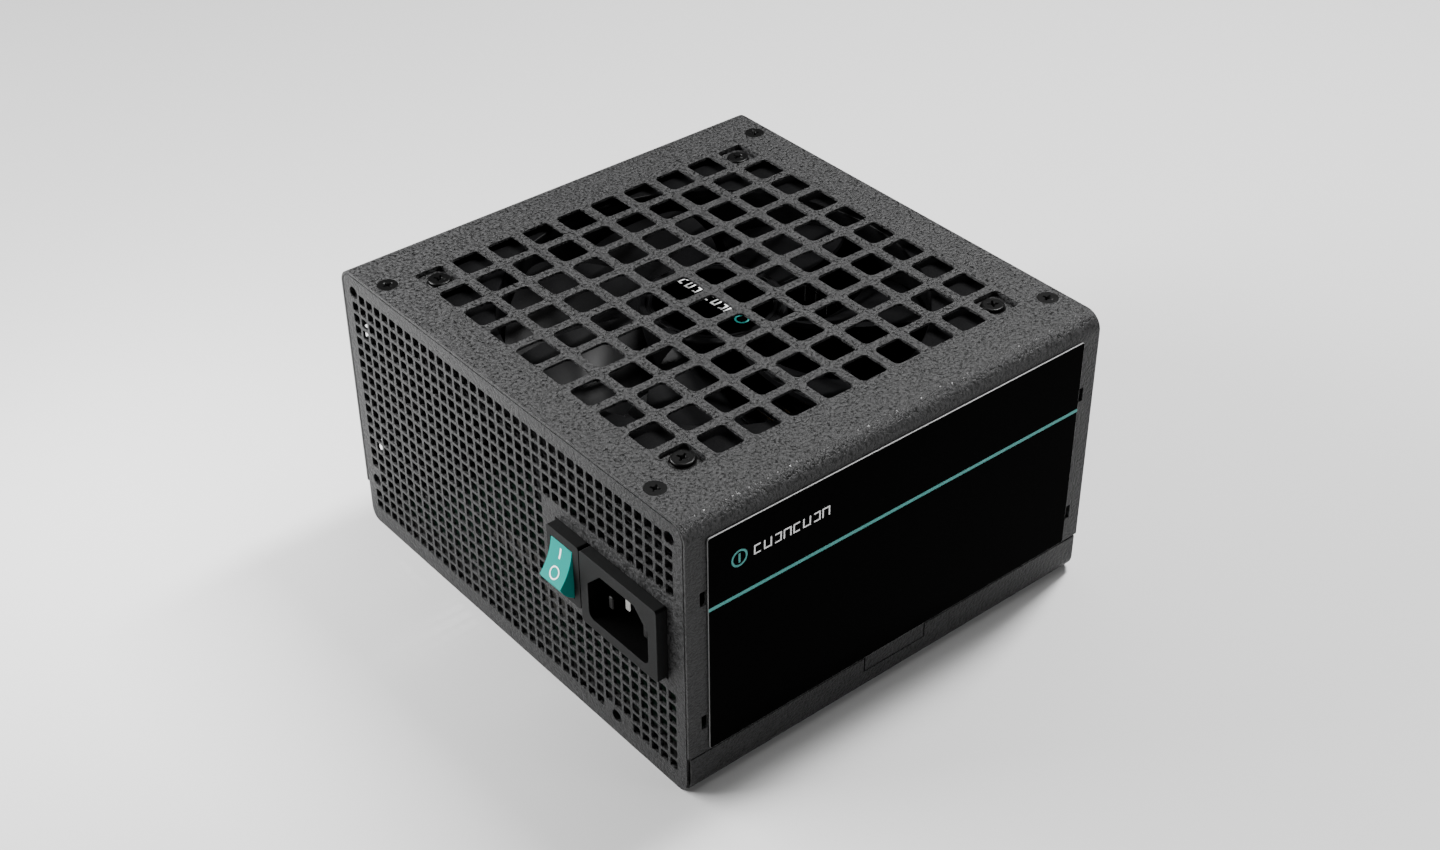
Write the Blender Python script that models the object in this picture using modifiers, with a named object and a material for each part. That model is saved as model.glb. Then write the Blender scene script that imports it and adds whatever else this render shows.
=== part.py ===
"""A desktop computer power supply unit, fan side up, as separate named pieces.

+X runs along the 150 mm width and +Y along the 140 mm depth, away from the mains wall.
+Z is up, towards the fan grille. The origin is the centre of the case's underside.
Lengths below are in millimetres; MM turns them into Blender's metres.
"""

import math

import bmesh
import bpy
from mathutils import Matrix, Vector

MM = 0.001

# ---- case -------------------------------------------------------------------------------------
WIDTH, DEPTH, HEIGHT = 150.0, 140.0, 86.0
SHEET = 0.8
BEND = 5.0
GAP = 0.3
STEP = 0.05  # joined sheets are offset by this much, so that no two faces share a plane
SEAM_Z = 12.7
TAB_HALF, TAB_Z = 10.6, 8.0
HALF_X, HALF_Y = WIDTH / 2, DEPTH / 2
WALL_X = HALF_X - SHEET - GAP
WALL_R = BEND - SHEET - GAP

# ---- fan grille in the cover ------------------------------------------------------------------
GRILLE_CELLS, GRILLE_PITCH, GRILLE_HOLE = 10, 11.77, 9.1
GRILLE_SPANS = ((0, 1), (2, 3), (4, 5), (6, 7), (8, 9))  # cells that share one opening along Y
GRILLE_EDGE_SPANS = ((1, 2), (3, 4), (5, 6), (7, 8))  # the same beside the corner pockets
POCKET_FLOOR, POCKET_SHEET = 84.4, 0.7
FAN_PITCH = 105.0

# ---- cover screws: (x, y) of each countersink --------------------------------------------------
COVER_SCREWS = {
    "front_left": (-58.2, -65.3),
    "front_right": (58.2, -65.3),
    "rear_left": (-60.1, 65.3),
    "rear_right": (60.1, 65.3),
}
TAB_TOP = 83.4
SLOT_Y, SLOT_W = 65.05, 1.5
SLOT_SPANS = ((20.7, 25.0), (60.5, 64.8))

# ---- mains wall: vent, case mount holes and modules --------------------------------------------
VENT_HOLE, VENT_PITCH_X, VENT_PITCH_Z = 2.9, 3.82, 3.80
VENT_X0, VENT_Z0 = -68.75, 79.3
VENT_COLUMNS = ((1, 3), (5, 7), (9, 11), (13, 15), (17, 19), (21, 23), (25, 27), (29, 31), (33, 35))
VENT_ROWS = ((1, 5), (7, 12), (14, 18))
VENT_ROWS_BY_MODULES = ((1, 4), (14, 18))  # above and below the inlet and the switch
FIRST_MODULE_COLUMN = 24
MOUNT_HOLES = ((-69.0, 80.0), (69.0, 80.0), (-69.0, 16.0), (45.0, 6.0))
MOUNT_HOLE_R = 1.9
PROUD = 3.1
BEZEL_Y = -HALF_Y - PROUD
FLANGE_Y, FLANGE_T = -68.9, 1.5
INLET_X, INLET_Z = (36.35, 67.2), (34.9, 57.7)
SWITCH_X, SWITCH_Z = (22.7, 36.05), (38.0, 57.8)
SOCKET_X, SOCKET_Z, SOCKET_CHAMFER = (39.5, 63.6), (38.0, 54.1), 5.2
SOCKET_FLOOR_Y = -55.5
PIN_SPACING, PIN_OFFSET = 7.0, 2.0

# ---- rocker: a drum about its pivot, with a hollowed face ---------------------------------------
ROCKER_X = (24.5, 33.3)
PIVOT_Y, PIVOT_Z = -69.6, 47.4
DRUM_R, FACE_DISTANCE, FACE_HOLLOW = 8.05, 6.0, 0.5
ROCKER_TILT = math.radians(22.5)
CONTACT_Y = -58.6

# ---- fan --------------------------------------------------------------------------------------
FAN_SIZE, FAN_TOP, FAN_THICK = 120.0, 83.4, 25.0
FAN_BORE_R, FAN_TIP_R, HUB_R, BLADES = 58.0, 56.6, 20.0, 7

# ---- board ------------------------------------------------------------------------------------
BOARD_Z, BOARD_T = 7.5, 1.6
BOARD_TOP = BOARD_Z + BOARD_T
BOARD_FEET = ((-60.0, -58.0), (60.0, -58.0), (-60.0, 56.0), (60.0, 56.0))

for old in list(bpy.data.objects):
    bpy.data.objects.remove(old, do_unlink=True)

parts = bpy.data.collections.new("power_supply_unit")
cutters = bpy.data.collections.new("cutters")
bpy.context.scene.collection.children.link(parts)
bpy.context.scene.collection.children.link(cutters)


def finish(name, color, roughness, metallic=0.0):
    """A Principled material."""
    material = bpy.data.materials.new(name)
    material.use_nodes = True
    shader = material.node_tree.nodes["Principled BSDF"]
    shader.inputs["Base Color"].default_value = (*color, 1.0)
    shader.inputs["Roughness"].default_value = roughness
    shader.inputs["Metallic"].default_value = metallic
    return material


POWDER = finish("powder_coat", (0.055, 0.055, 0.057), 0.55)
PANEL = finish("gloss_panel", (0.008, 0.008, 0.009), 0.15)
PAPER = finish("plain_label", (0.03, 0.03, 0.03), 0.5)
BLACK_STEEL = finish("black_screw_steel", (0.02, 0.02, 0.02), 0.35, 0.8)
GREY_PLASTIC = finish("grey_plastic", (0.1, 0.1, 0.105), 0.5)
TEAL_PLASTIC = finish("teal_plastic", (0.02, 0.5, 0.45), 0.35)
BLACK_PLASTIC = finish("black_plastic", (0.012, 0.012, 0.013), 0.35)
TIN = finish("tinned_brass", (0.75, 0.75, 0.72), 0.25, 1.0)
ALUMINIUM = finish("aluminium", (0.6, 0.6, 0.62), 0.4, 1.0)
STEEL = finish("steel", (0.55, 0.55, 0.56), 0.3, 1.0)
FERRITE = finish("ferrite", (0.04, 0.04, 0.042), 0.7)
COPPER = finish("copper_winding", (0.6, 0.25, 0.08), 0.4, 1.0)
YELLOW_TAPE = finish("yellow_tape", (0.75, 0.5, 0.05), 0.5)
BOARD_GREEN = finish("board_green", (0.02, 0.12, 0.05), 0.4)
FILM = finish("insulating_film", (0.3, 0.3, 0.28), 0.5)
SLEEVE = finish("capacitor_sleeve", (0.01, 0.02, 0.06), 0.35)
PALE_PLASTIC = finish("pale_plastic", (0.7, 0.7, 0.66), 0.4)


def keep(obj, material=None):
    """Put an object with the parts, or with the cutters if it has no material."""
    home = parts if material else cutters
    for collection in list(obj.users_collection):
        collection.objects.unlink(obj)
    home.objects.link(obj)
    if material:
        obj.data.materials.clear()
        obj.data.materials.append(material)
    else:
        obj.hide_render = True
        obj.display_type = "WIRE"
    return obj


def box(name, low, high, material=None):
    """A block between two corners."""
    size = Vector(high) - Vector(low)
    mesh = bpy.data.meshes.new(name)
    shape = bmesh.new()
    bmesh.ops.create_cube(shape, size=1.0, matrix=Matrix.Diagonal((*(size * MM), 1.0)))
    shape.to_mesh(mesh)
    shape.free()
    obj = bpy.data.objects.new(name, mesh)
    obj.location = (Vector(high) + Vector(low)) * (MM / 2)
    return keep(obj, material)


def boxes(name, spans):
    """Separate blocks in one cutter."""
    shape = bmesh.new()
    for low, high in spans:
        size = (Vector(high) - Vector(low)) * MM
        place = Matrix.Translation((Vector(high) + Vector(low)) * (MM / 2))
        bmesh.ops.create_cube(shape, size=1.0, matrix=place @ Matrix.Diagonal((*size, 1.0)))
    mesh = bpy.data.meshes.new(name)
    shape.to_mesh(mesh)
    shape.free()
    return keep(bpy.data.objects.new(name, mesh))


def turned(name, profile, place, material=None, steps=24, loop=False):
    """A shape turned on +Z: (radius, height) points from top to bottom."""
    mesh = bpy.data.meshes.new(name)
    shape = bmesh.new()
    points = [shape.verts.new((radius * MM, 0, height * MM)) for radius, height in profile]
    for first, second in zip(points, points[1:]):
        shape.edges.new((first, second))
    if loop:
        shape.edges.new((points[-1], points[0]))
    shape.to_mesh(mesh)
    shape.free()
    obj = bpy.data.objects.new(name, mesh)
    obj.location = Vector(place) * MM
    screw = obj.modifiers.new("turn", "SCREW")
    screw.steps = screw.render_steps = steps
    screw.use_merge_vertices = True
    screw.merge_threshold = 0.00001
    return keep(obj, material)


def cylinder(name, radius, low, high, place, material=None, steps=16):
    """A solid upright bar from low to high."""
    return turned(name, ((0, high), (radius, high), (radius, low), (0, low)), place, material, steps)


def tube(name, inner, outer, low, high, place, material=None, steps=24):
    """An upright sleeve from low to high."""
    profile = ((inner, high), (outer, high), (outer, low), (inner, low))
    return turned(name, profile, place, material, steps, loop=True)


FACING = {
    "Z": Matrix(((1, 0, 0), (0, 1, 0), (0, 0, 1))).to_4x4(),
    "-Y": Matrix(((1, 0, 0), (0, 0, -1), (0, 1, 0))).to_4x4(),
    "X": Matrix(((0, 0, 1), (1, 0, 0), (0, 1, 0))).to_4x4(),
}


def plate(name, outlines, thickness, place, material=None, facing="Z"):
    """A flat sheet: the first outline is its edge and the others are its holes."""
    curve = bpy.data.curves.new(name, "CURVE")
    curve.dimensions = "2D"
    curve.fill_mode = "BOTH"
    curve.extrude = thickness * MM / 2
    for outline in outlines:
        spline = curve.splines.new("POLY")
        spline.points.add(len(outline) - 1)
        for point, (across, up) in zip(spline.points, outline):
            point.co = (across * MM, up * MM, 0, 1)
        spline.use_cyclic_u = True
    flat = bpy.data.objects.new(name + "_outline", curve)
    bpy.context.scene.collection.objects.link(flat)
    bpy.context.view_layer.update()
    ready = flat.evaluated_get(bpy.context.evaluated_depsgraph_get())
    mesh = bpy.data.meshes.new_from_object(ready)
    shape = bmesh.new()
    shape.from_mesh(mesh)
    bmesh.ops.remove_doubles(shape, verts=shape.verts, dist=0.000005)
    bmesh.ops.transform(shape, matrix=FACING[facing], verts=shape.verts)
    bmesh.ops.recalc_face_normals(shape, faces=shape.faces)
    shape.to_mesh(mesh)
    shape.free()
    bpy.data.objects.remove(flat, do_unlink=True)
    mesh.name = name
    obj = bpy.data.objects.new(name, mesh)
    obj.location = Vector(place) * MM
    return keep(obj, material)


def bar(name, radius, span_x, centre, material=None, steps=16):
    """A round bar along X; centre is its (y, z)."""
    middle, length = sum(span_x) / 2, span_x[1] - span_x[0]
    return plate(name, [circle(centre, radius, steps)], length, (middle, 0, 0), material, facing="X")


def arc(centre, radius, start, end, steps=4):
    """Points of a round corner, angles in degrees."""
    turns = [math.radians(start + (end - start) * i / steps) for i in range(steps + 1)]
    return [(centre[0] + radius * math.cos(a), centre[1] + radius * math.sin(a)) for a in turns]


def rounded(low, high, radius, steps=3):
    """A rectangle with round corners between two corner points."""
    (x0, y0), (x1, y1) = low, high
    corners = ((x1, y1, 0), (x0, y1, 90), (x0, y0, 180), (x1, y0, 270))
    outline = []
    for x, y, turn in corners:
        centre = (x - math.copysign(radius, x - (x0 + x1) / 2), y - math.copysign(radius, y - (y0 + y1) / 2))
        outline += arc(centre, radius, turn, turn + 90, steps)
    return outline


def circle(centre, radius, steps=12):
    """A round hole's outline."""
    return arc(centre, radius, 0, 360 - 360 / steps, steps - 1)


def boolean(obj, other, operation):
    """Join or cut with the exact solver."""
    step = obj.modifiers.new(other.name, "BOOLEAN")
    step.operation = operation
    step.solver = "EXACT"
    step.object = other
    return obj


def cut(obj, *others):
    for other in others:
        boolean(obj, other, "DIFFERENCE")
    return obj


def join(obj, *others):
    for other in others:
        boolean(obj, other, "UNION")
    return obj


# ---- case sheets ------------------------------------------------------------------------------
def folded_profile(fold_z, end_z, side):
    """The outline of a U-folded sheet: side is 1 for a fold above its flanges and -1 for one below."""
    left = (-HALF_X + BEND, fold_z - side * BEND)
    right = (HALF_X - BEND, fold_z - side * BEND)
    inner = BEND - SHEET
    outline = [(-HALF_X, end_z)]
    outline += arc(left, BEND, 180, 180 - 90 * side)
    outline += arc(right, BEND, 90 * side, 0)
    outline += [(HALF_X, end_z), (HALF_X - SHEET, end_z)]
    outline += arc(right, inner, 0, 90 * side)
    outline += arc(left, inner, 180 - 90 * side, 180)
    return outline + [(-HALF_X + SHEET, end_z)]


def countersink(name, x, y, wall, top, bottom):
    """The cone under a flush screw head: a dimple that joins the cover, or the room that is cut from it."""
    waist, waist_z, slope = 2.0 + wall, 84.3, 0.7
    mouth = waist + (top - waist_z) * slope
    profile = ((0, top), (mouth, top), (waist, waist_z), (waist, bottom), (0, bottom))
    return turned(name, profile, (x, y, 0), steps=16)


def build_cover():
    """The cover: a folded top and two sides, with the grille, fan pockets and countersinks."""
    outline = folded_profile(HEIGHT, SEAM_Z, 1)
    cover = plate("top_cover", [outline], DEPTH, (0, 0, 0), POWDER, facing="-Y")
    for side in (-1, 1):
        inner, outer = sorted((side * (HALF_X - SHEET + STEP), side * (HALF_X - STEP)))
        low, high = (inner, -TAB_HALF, TAB_Z), (outer, TAB_HALF, SEAM_Z + 1)
        join(cover, box(f"cover_tab_{side}", low, high))
    pad, hole = GRILLE_HOLE / 2 + SHEET, GRILLE_HOLE / 2
    pads, wells = [], []
    for x in (-1, 1):
        for y in (-1, 1):
            cx, cy = x * FAN_PITCH / 2, y * FAN_PITCH / 2
            pads.append(((cx - pad, cy - pad, POCKET_FLOOR - POCKET_SHEET), (cx + pad, cy + pad, HEIGHT - 0.1)))
            wells.append(((cx - hole, cy - hole, POCKET_FLOOR), (cx + hole, cy + hole, HEIGHT + 1)))
    join(cover, boxes("pocket_pads", pads))
    for name, (x, y) in COVER_SCREWS.items():
        join(cover, countersink("dimple_" + name, x, y, 0.7, 85.4, 83.7))
    for name, (x, y) in COVER_SCREWS.items():
        cut(cover, countersink("sink_" + name, x, y, 0, 86.5, 83.0))
    cut(cover, boxes("pocket_wells", wells))
    for index, (low, _) in enumerate(wells):
        place = (low[0] + hole, low[1] + hole, 0)
        cut(cover, cylinder(f"pocket_hole_{index}", 1.9, 83, 85, place, steps=12))
    middle = (GRILLE_CELLS - 1) / 2
    holes = []
    for column in range(GRILLE_CELLS):
        x = (column - middle) * GRILLE_PITCH
        spans = GRILLE_EDGE_SPANS if column in (0, GRILLE_CELLS - 1) else GRILLE_SPANS
        for first, last in spans:
            near, far = ((row - middle) * GRILLE_PITCH for row in (first, last))
            holes.append(((x - hole, near - hole, 84), (x + hole, far + hole, 87)))
    cut(cover, boxes("grille_holes", holes))
    slots = []
    for y in (-SLOT_Y, SLOT_Y):
        for low, high in SLOT_SPANS:
            slots.append(((-HALF_X - 1, y - SLOT_W / 2, low), (-HALF_X + 2, y + SLOT_W / 2, high)))
            slots.append(((HALF_X - 2, y - SLOT_W / 2, low), (HALF_X + 1, y + SLOT_W / 2, high)))
    return cut(cover, boxes("side_slots", slots))


def wall_outline():
    """An end wall inside the cover, with a foot that reaches the floor between the bends."""
    low_z, high_z = BEND - WALL_R, HEIGHT - BEND + WALL_R
    outline = rounded((-WALL_X, low_z), (WALL_X, high_z), WALL_R)
    foot = HALF_X - BEND - 1
    return outline[:12] + [(-foot, SHEET / 2), (foot, SHEET / 2)] + outline[12:]


def vent_windows():
    """The vent's openings, each as wide as three columns of small holes, as blocks that cut the wall."""
    half, windows = VENT_HOLE / 2, []
    near, far = -HALF_Y - 1, -HALF_Y + SHEET + 1
    for left, right in VENT_COLUMNS:
        for top, bottom in VENT_ROWS_BY_MODULES if left >= FIRST_MODULE_COLUMN else VENT_ROWS:
            low = (VENT_X0 + left * VENT_PITCH_X - half, near, VENT_Z0 - bottom * VENT_PITCH_Z - half)
            high = (VENT_X0 + right * VENT_PITCH_X + half, far, VENT_Z0 - top * VENT_PITCH_Z + half)
            windows.append((low, high))
    return windows


def module_cutout():
    """The wall's one opening round both bezels."""
    left, middle, right = SWITCH_X[0] - GAP, INLET_X[0] - GAP, INLET_X[1] + GAP
    switch_low, switch_high = SWITCH_Z[0] - GAP, SWITCH_Z[1] + GAP
    inlet_low, inlet_high = INLET_Z[0] - GAP, INLET_Z[1] + GAP
    seam = SWITCH_X[1] + GAP
    return [(left, switch_low), (middle, switch_low), (middle, inlet_low), (right, inlet_low),
            (right, inlet_high), (seam, inlet_high), (seam, switch_high), (left, switch_high)]


def build_tray():
    """The tray: floor and flanges, the vented mains wall, the cable wall and four screw tabs."""
    outline = folded_profile(0, SEAM_Z - 0.4, -1)
    tray = plate("bottom_tray", [outline], DEPTH - 2 * STEP, (0, 0, 0), POWDER, facing="-Y")
    mains = plate("mains_wall", [wall_outline()], SHEET, (0, -HALF_Y + SHEET / 2, 0), facing="-Y")
    cables = plate("cable_wall", [wall_outline()], SHEET, (0, HALF_Y - SHEET / 2, 0), facing="-Y")
    join(tray, mains, cables)
    cut(tray, boxes("vent_windows", vent_windows()))
    cut(tray, plate("module_cutout", [module_cutout()], 4, (0, -HALF_Y, 0), facing="-Y"))
    for index, place in enumerate(MOUNT_HOLES):
        cut(tray, plate(f"mount_hole_{index}", [circle(place, MOUNT_HOLE_R)], 4, (0, -HALF_Y, 0), facing="-Y"))
    gland = [rounded((-54.3, 28.7), (-15.7, 51.3), 11.2, 3)]
    cut(tray, plate("cable_cutout", gland, 4, (0, HALF_Y, 0), facing="-Y"))
    for name, (x, y) in COVER_SCREWS.items():
        outer = math.copysign(HALF_Y - SHEET / 2, y)
        inner = math.copysign(HALF_Y - 8.5, y)
        low_y, high_y = sorted((outer, inner))
        join(tray, box("tab_" + name, (x - 6, low_y, TAB_TOP - SHEET), (x + 6, high_y, TAB_TOP)))
    for name, (x, y) in COVER_SCREWS.items():
        cut(tray, cylinder("tab_hole_" + name, 1.8, 80, 84, (x, y, 0), steps=12))
    notch_low, notch_high = -TAB_HALF - 0.4, TAB_HALF + 0.4
    notches = []
    for side in (-1, 1):
        near, far = sorted((side * (HALF_X - 2), side * (HALF_X + 1)))
        notches.append(((near, notch_low, TAB_Z - 0.4), (far, notch_high, SEAM_Z + 1)))
    return cut(tray, boxes("tray_notches", notches))


def build_labels():
    """The glossy side panel and the plain rating label, each stuck on the cover."""
    panel = [rounded((-63.7, 13.3), (63.8, 80.3), 1.5)]
    plate("side_panel", panel, 0.4, (HALF_X + 0.3, 0, 0), PANEL, facing="X")
    label = [rounded((-55.0, 16.0), (55.0, 78.0), 2.0)]
    plate("rating_label", label, 0.2, (-HALF_X - 0.2, 0, 0), PAPER, facing="X")


def cross_recess(name, x, y, top, depth=0.9, reach=1.7):
    """The plus-shaped drive recess of a screw head, with arms that narrow towards their ends."""
    root, tip = 0.42, 0.3
    order = []
    for quarter in range(4):
        turn = Matrix.Rotation(math.radians(90 * quarter), 2)
        order += [turn @ Vector(point) for point in ((reach, -tip), (reach, tip), (root, root))]
    return plate(name, [order], depth * 2, (x, y, top))


def build_case_screws():
    """Four flush screws hold the cover, and four pan-head screws hold the fan in its pockets."""
    flush = ((0, 85.95), (2.85, 85.95), (2.85, 85.7), (1.45, 84.35), (1.45, 77.0), (0, 76.4))
    for name, (x, y) in COVER_SCREWS.items():
        screw = turned("cover_screw_" + name, flush, (x, y, 0), BLACK_STEEL, steps=14)
        cut(screw, cross_recess("recess_" + name, x, y, 86.0))
    pan = ((0, 85.75), (2.2, 85.65), (3.0, 85.3), (3.2, 84.9), (3.2, 84.7), (1.5, 84.7), (1.5, 74.0), (0, 73.0))
    for x, across in ((-1, "left"), (1, "right")):
        for y, along in ((-1, "front"), (1, "rear")):
            cx, cy = x * FAN_PITCH / 2, y * FAN_PITCH / 2
            screw = turned(f"fan_screw_{along}_{across}", pan, (cx, cy, 0), BLACK_STEEL, steps=14)
            cut(screw, cross_recess(f"fan_recess_{along}_{across}", cx, cy, 85.8))


# ---- mains inlet and switch --------------------------------------------------------------------
def module_block(name, span_x, span_z, flange_x, body_x, body_z, back_y, material):
    """A bezel through the wall, a flange behind the wall, and a body behind the flange."""
    depth = FLANGE_Y + 1.0 - BEZEL_Y
    bezel = [rounded((span_x[0], span_z[0]), (span_x[1], span_z[1]), 1.0)]
    block = plate(name, bezel, depth, (0, BEZEL_Y + depth / 2, 0), material, facing="-Y")
    low = (flange_x[0], FLANGE_Y, span_z[0] - 1.8)
    high = (flange_x[1], FLANGE_Y + FLANGE_T, span_z[1] + 1.6)
    join(block, box(name + "_flange", low, high))
    body = box(name + "_body", (body_x[0], FLANGE_Y + 0.5, body_z[0]), (body_x[1], back_y, body_z[1]))
    return join(block, body)


def socket_outline():
    """The socket's mouth: cut corners above and round corners below."""
    (x0, x1), (z0, z1) = SOCKET_X, SOCKET_Z
    left = arc((x0 + 2.2, z0 + 2.2), 2.2, 180, 270, 3)
    right = arc((x1 - 2.2, z0 + 2.2), 2.2, 270, 360, 3)
    top = [(x1, z1 - SOCKET_CHAMFER), (x1 - SOCKET_CHAMFER, z1), (x0 + SOCKET_CHAMFER, z1), (x0, z1 - SOCKET_CHAMFER)]
    return left + right + top


def build_inlet():
    """The mains inlet with its line, neutral and earth pins."""
    inlet = module_block("inlet_housing", INLET_X, INLET_Z, (INLET_X[0], 69.2), (38.0, 65.2), (36.4, 56.0),
                         -51.0, GREY_PLASTIC)
    depth = SOCKET_FLOOR_Y - BEZEL_Y + 1
    mouth = plate("socket_mouth", [socket_outline()], depth, (0, SOCKET_FLOOR_Y - depth / 2, 0), facing="-Y")
    cut(inlet, mouth)
    centre_x, centre_z = sum(SOCKET_X) / 2, sum(SOCKET_Z) / 2
    pins = {
        "line_pin": (centre_x + PIN_SPACING, centre_z - PIN_OFFSET),
        "neutral_pin": (centre_x - PIN_SPACING, centre_z - PIN_OFFSET),
        "earth_pin": (centre_x, centre_z + PIN_OFFSET),
    }
    for name, (x, z) in pins.items():
        slot = ((x - 1.3, SOCKET_FLOOR_Y - 1, z - 2.3), (x + 1.3, -50.0, z + 2.3))
        cut(inlet, boxes(name + "_slot", [slot]))
        pin = box(name, (x - 1, -70.0, z - 2), (x + 1, -44.0, z + 2), TIN)
        nose = pin.modifiers.new("round_ends", "BEVEL")
        nose.width = 0.5 * MM
        nose.segments = 2


def rocker_point(across, outward):
    """A point of the rocker's side at rest, from its own face directions."""
    cosine, sine = math.cos(ROCKER_TILT), math.sin(ROCKER_TILT)
    y = PIVOT_Y - outward * cosine + across * sine
    z = PIVOT_Z + outward * sine + across * cosine
    return (y, z)


def rocker_outline():
    """A drum about the pivot with a hollowed face in front and a flat back."""
    half_face = math.sqrt(DRUM_R**2 - FACE_DISTANCE**2)
    hollow_r = (half_face**2 + FACE_HOLLOW**2) / (2 * FACE_HOLLOW)
    hollow_centre = FACE_DISTANCE - FACE_HOLLOW + hollow_r
    face = []
    for step in range(9):
        across = half_face * (step / 4 - 1)
        face.append((across, hollow_centre - math.sqrt(hollow_r**2 - across**2)))
    back = -1.5
    start = math.degrees(math.atan2(FACE_DISTANCE, half_face))
    end = math.degrees(math.atan2(back, math.sqrt(DRUM_R**2 - back**2)))
    side = arc((0, 0), DRUM_R, start, end, 8)[1:]
    stem = [(1.2, back), (1.2, -4.6), (-1.2, -4.6), (-1.2, back)]
    mirrored = [(-across, outward) for across, outward in reversed(side)]
    return [rocker_point(*point) for point in face + side + stem + mirrored]


def build_switch():
    """The rocker switch: housing, rocker on its trunnions, see-saw contact and two terminals."""
    switch = module_block("switch_housing", SWITCH_X, SWITCH_Z, (20.9, SWITCH_X[1]), (23.0, 35.75), (38.6, 57.2),
                          -53.0, GREY_PLASTIC)
    pivot = (PIVOT_Y, PIVOT_Z)
    cut(switch, bar("rocker_well", DRUM_R + 0.35, (24.2, 33.6), pivot, steps=40))
    contact_room = ((26.4, -62.5, 39.8), (31.4, -54.5, 55.0))
    cut(switch, boxes("contact_room", [contact_room]))
    cut(switch, bar("trunnion_bore", 1.5, (22.9, 34.7), pivot, steps=10))
    terminal_slots = [((27.0, -56.0, z - 0.8), (30.8, -52.0, z + 0.8)) for z in (42.2, 52.6)]
    cut(switch, boxes("terminal_slots", terminal_slots))

    centre_x = sum(ROCKER_X) / 2
    width = ROCKER_X[1] - ROCKER_X[0]
    rocker = plate("switch_rocker", [rocker_outline()], width, (centre_x, 0, 0), TEAL_PLASTIC, facing="X")
    trunnions = bar("trunnions", 1.2, (23.2, 34.4), pivot, steps=10)
    join(rocker, trunnions)

    lean = math.radians(9)
    arm, half_x, half_t = 5.6, 1.9, 0.35
    outline = []
    for along, off in ((-arm, -half_t), (-arm, half_t), (arm, half_t), (arm, -half_t)):
        y = CONTACT_Y + off * math.cos(lean) - along * math.sin(lean)
        z = PIVOT_Z + along * math.cos(lean) + off * math.sin(lean)
        outline.append((y, z))
    plate("switch_contact", [outline], 2 * half_x, (centre_x, 0, 0), TIN, facing="X")
    for name, z in (("switch_terminal_lower", 42.2), ("switch_terminal_upper", 52.6)):
        box(name, (27.3, -57.0, z - 0.4), (30.5, -46.0, z + 0.4), TIN)


# ---- fan ---------------------------------------------------------------------------------------
def build_fan_frame():
    """A square frame with a round duct, two flanges, four struts and a motor base."""
    half = FAN_SIZE / 2
    low = FAN_TOP - FAN_THICK
    flange = 3.6
    bore = circle((0, 0), FAN_BORE_R, 36)
    holes = [circle((x * FAN_PITCH / 2, y * FAN_PITCH / 2), 2.15, 8) for x in (-1, 1) for y in (-1, 1)]
    edge = rounded((-half, -half), (half, half), 6.0)
    frame = plate("fan_frame", [edge, bore] + holes, flange, (0, 0, FAN_TOP - flange / 2), BLACK_PLASTIC)
    lower = plate("fan_lower_flange", [edge, bore] + holes, flange, (0, 0, low + flange / 2))
    duct = plate("fan_duct", [circle((0, 0), FAN_BORE_R + 1.6, 36), bore], FAN_THICK - 2, (0, 0, low + FAN_THICK / 2))
    join(frame, lower, duct)
    join(frame, cylinder("motor_base", 19.0, low, low + 2.0, (0, 0, 0), steps=24))
    for index, turn in enumerate((45, 135, 225, 315)):
        strut = box(f"strut_{index}", (17.0, -2.0, low + 0.2), (FAN_BORE_R + 1.0, 2.0, low + 1.8))
        spin = Matrix.Rotation(math.radians(turn), 4, "Z")
        strut.matrix_world = spin @ Matrix.Translation(strut.location)
        join(frame, strut)
    return frame


def blade_mesh(turn):
    """One curved blade from inside the hub to its round-cornered tip, as an open sheet."""
    shape = bmesh.new()
    rows, columns = 5, 4
    grid = []
    for row in range(rows + 1):
        reach = row / rows
        radius = HUB_R - 1.0 + (FAN_TIP_R - HUB_R + 1.0) * reach
        half_angle = math.radians(21.0 + 1.0 * reach)
        sweep = math.radians(turn + 16.0 * reach**1.4)
        pitch_height = 15.5 - 4.5 * reach
        trim = 1.0 if row < rows else 0.86
        line = []
        for column in range(columns + 1):
            across = (2 * column / columns - 1) * trim
            angle = sweep + half_angle * across
            height = 73.0 + pitch_height / 2 * across * (1 - 0.18 * across**2)
            line.append(shape.verts.new((radius * math.cos(angle) * MM, radius * math.sin(angle) * MM, height * MM)))
        grid.append(line)
    for near, far in zip(grid, grid[1:]):
        for column in range(columns):
            shape.faces.new((near[column], far[column], far[column + 1], near[column + 1]))
    return shape


def build_rotor():
    """The rotor turns on +Z: a hub cup with seven swept blades, magnet ring, shaft and label."""
    cup = ((0, 82.3), (18.6, 82.3), (19.6, 81.9), (HUB_R, 81.0), (HUB_R, 64.4), (18.4, 64.4), (18.4, 80.6),
           (2.6, 80.6), (2.6, 79.6), (0, 79.6))
    rotor = turned("fan_rotor", cup, (0, 0, 0), BLACK_PLASTIC, steps=28)
    for index in range(BLADES):
        name = f"blade_{index}"
        mesh = bpy.data.meshes.new(name)
        shape = blade_mesh(360 * index / BLADES)
        shape.to_mesh(mesh)
        shape.free()
        blade = keep(bpy.data.objects.new(name, mesh))
        wall = blade.modifiers.new("wall", "SOLIDIFY")
        wall.thickness = 1.5 * MM
        wall.offset = 0
        join(rotor, blade)
    tube("rotor_magnet", 16.4, 18.1, 66.0, 77.0, (0, 0, 0), FERRITE)
    cylinder("fan_shaft", 1.5, 61.2, 79.3, (0, 0, 0), STEEL)
    cylinder("fan_hub_label", 16.0, 82.4, 82.55, (0, 0, 0), PAPER, steps=32)


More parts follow.
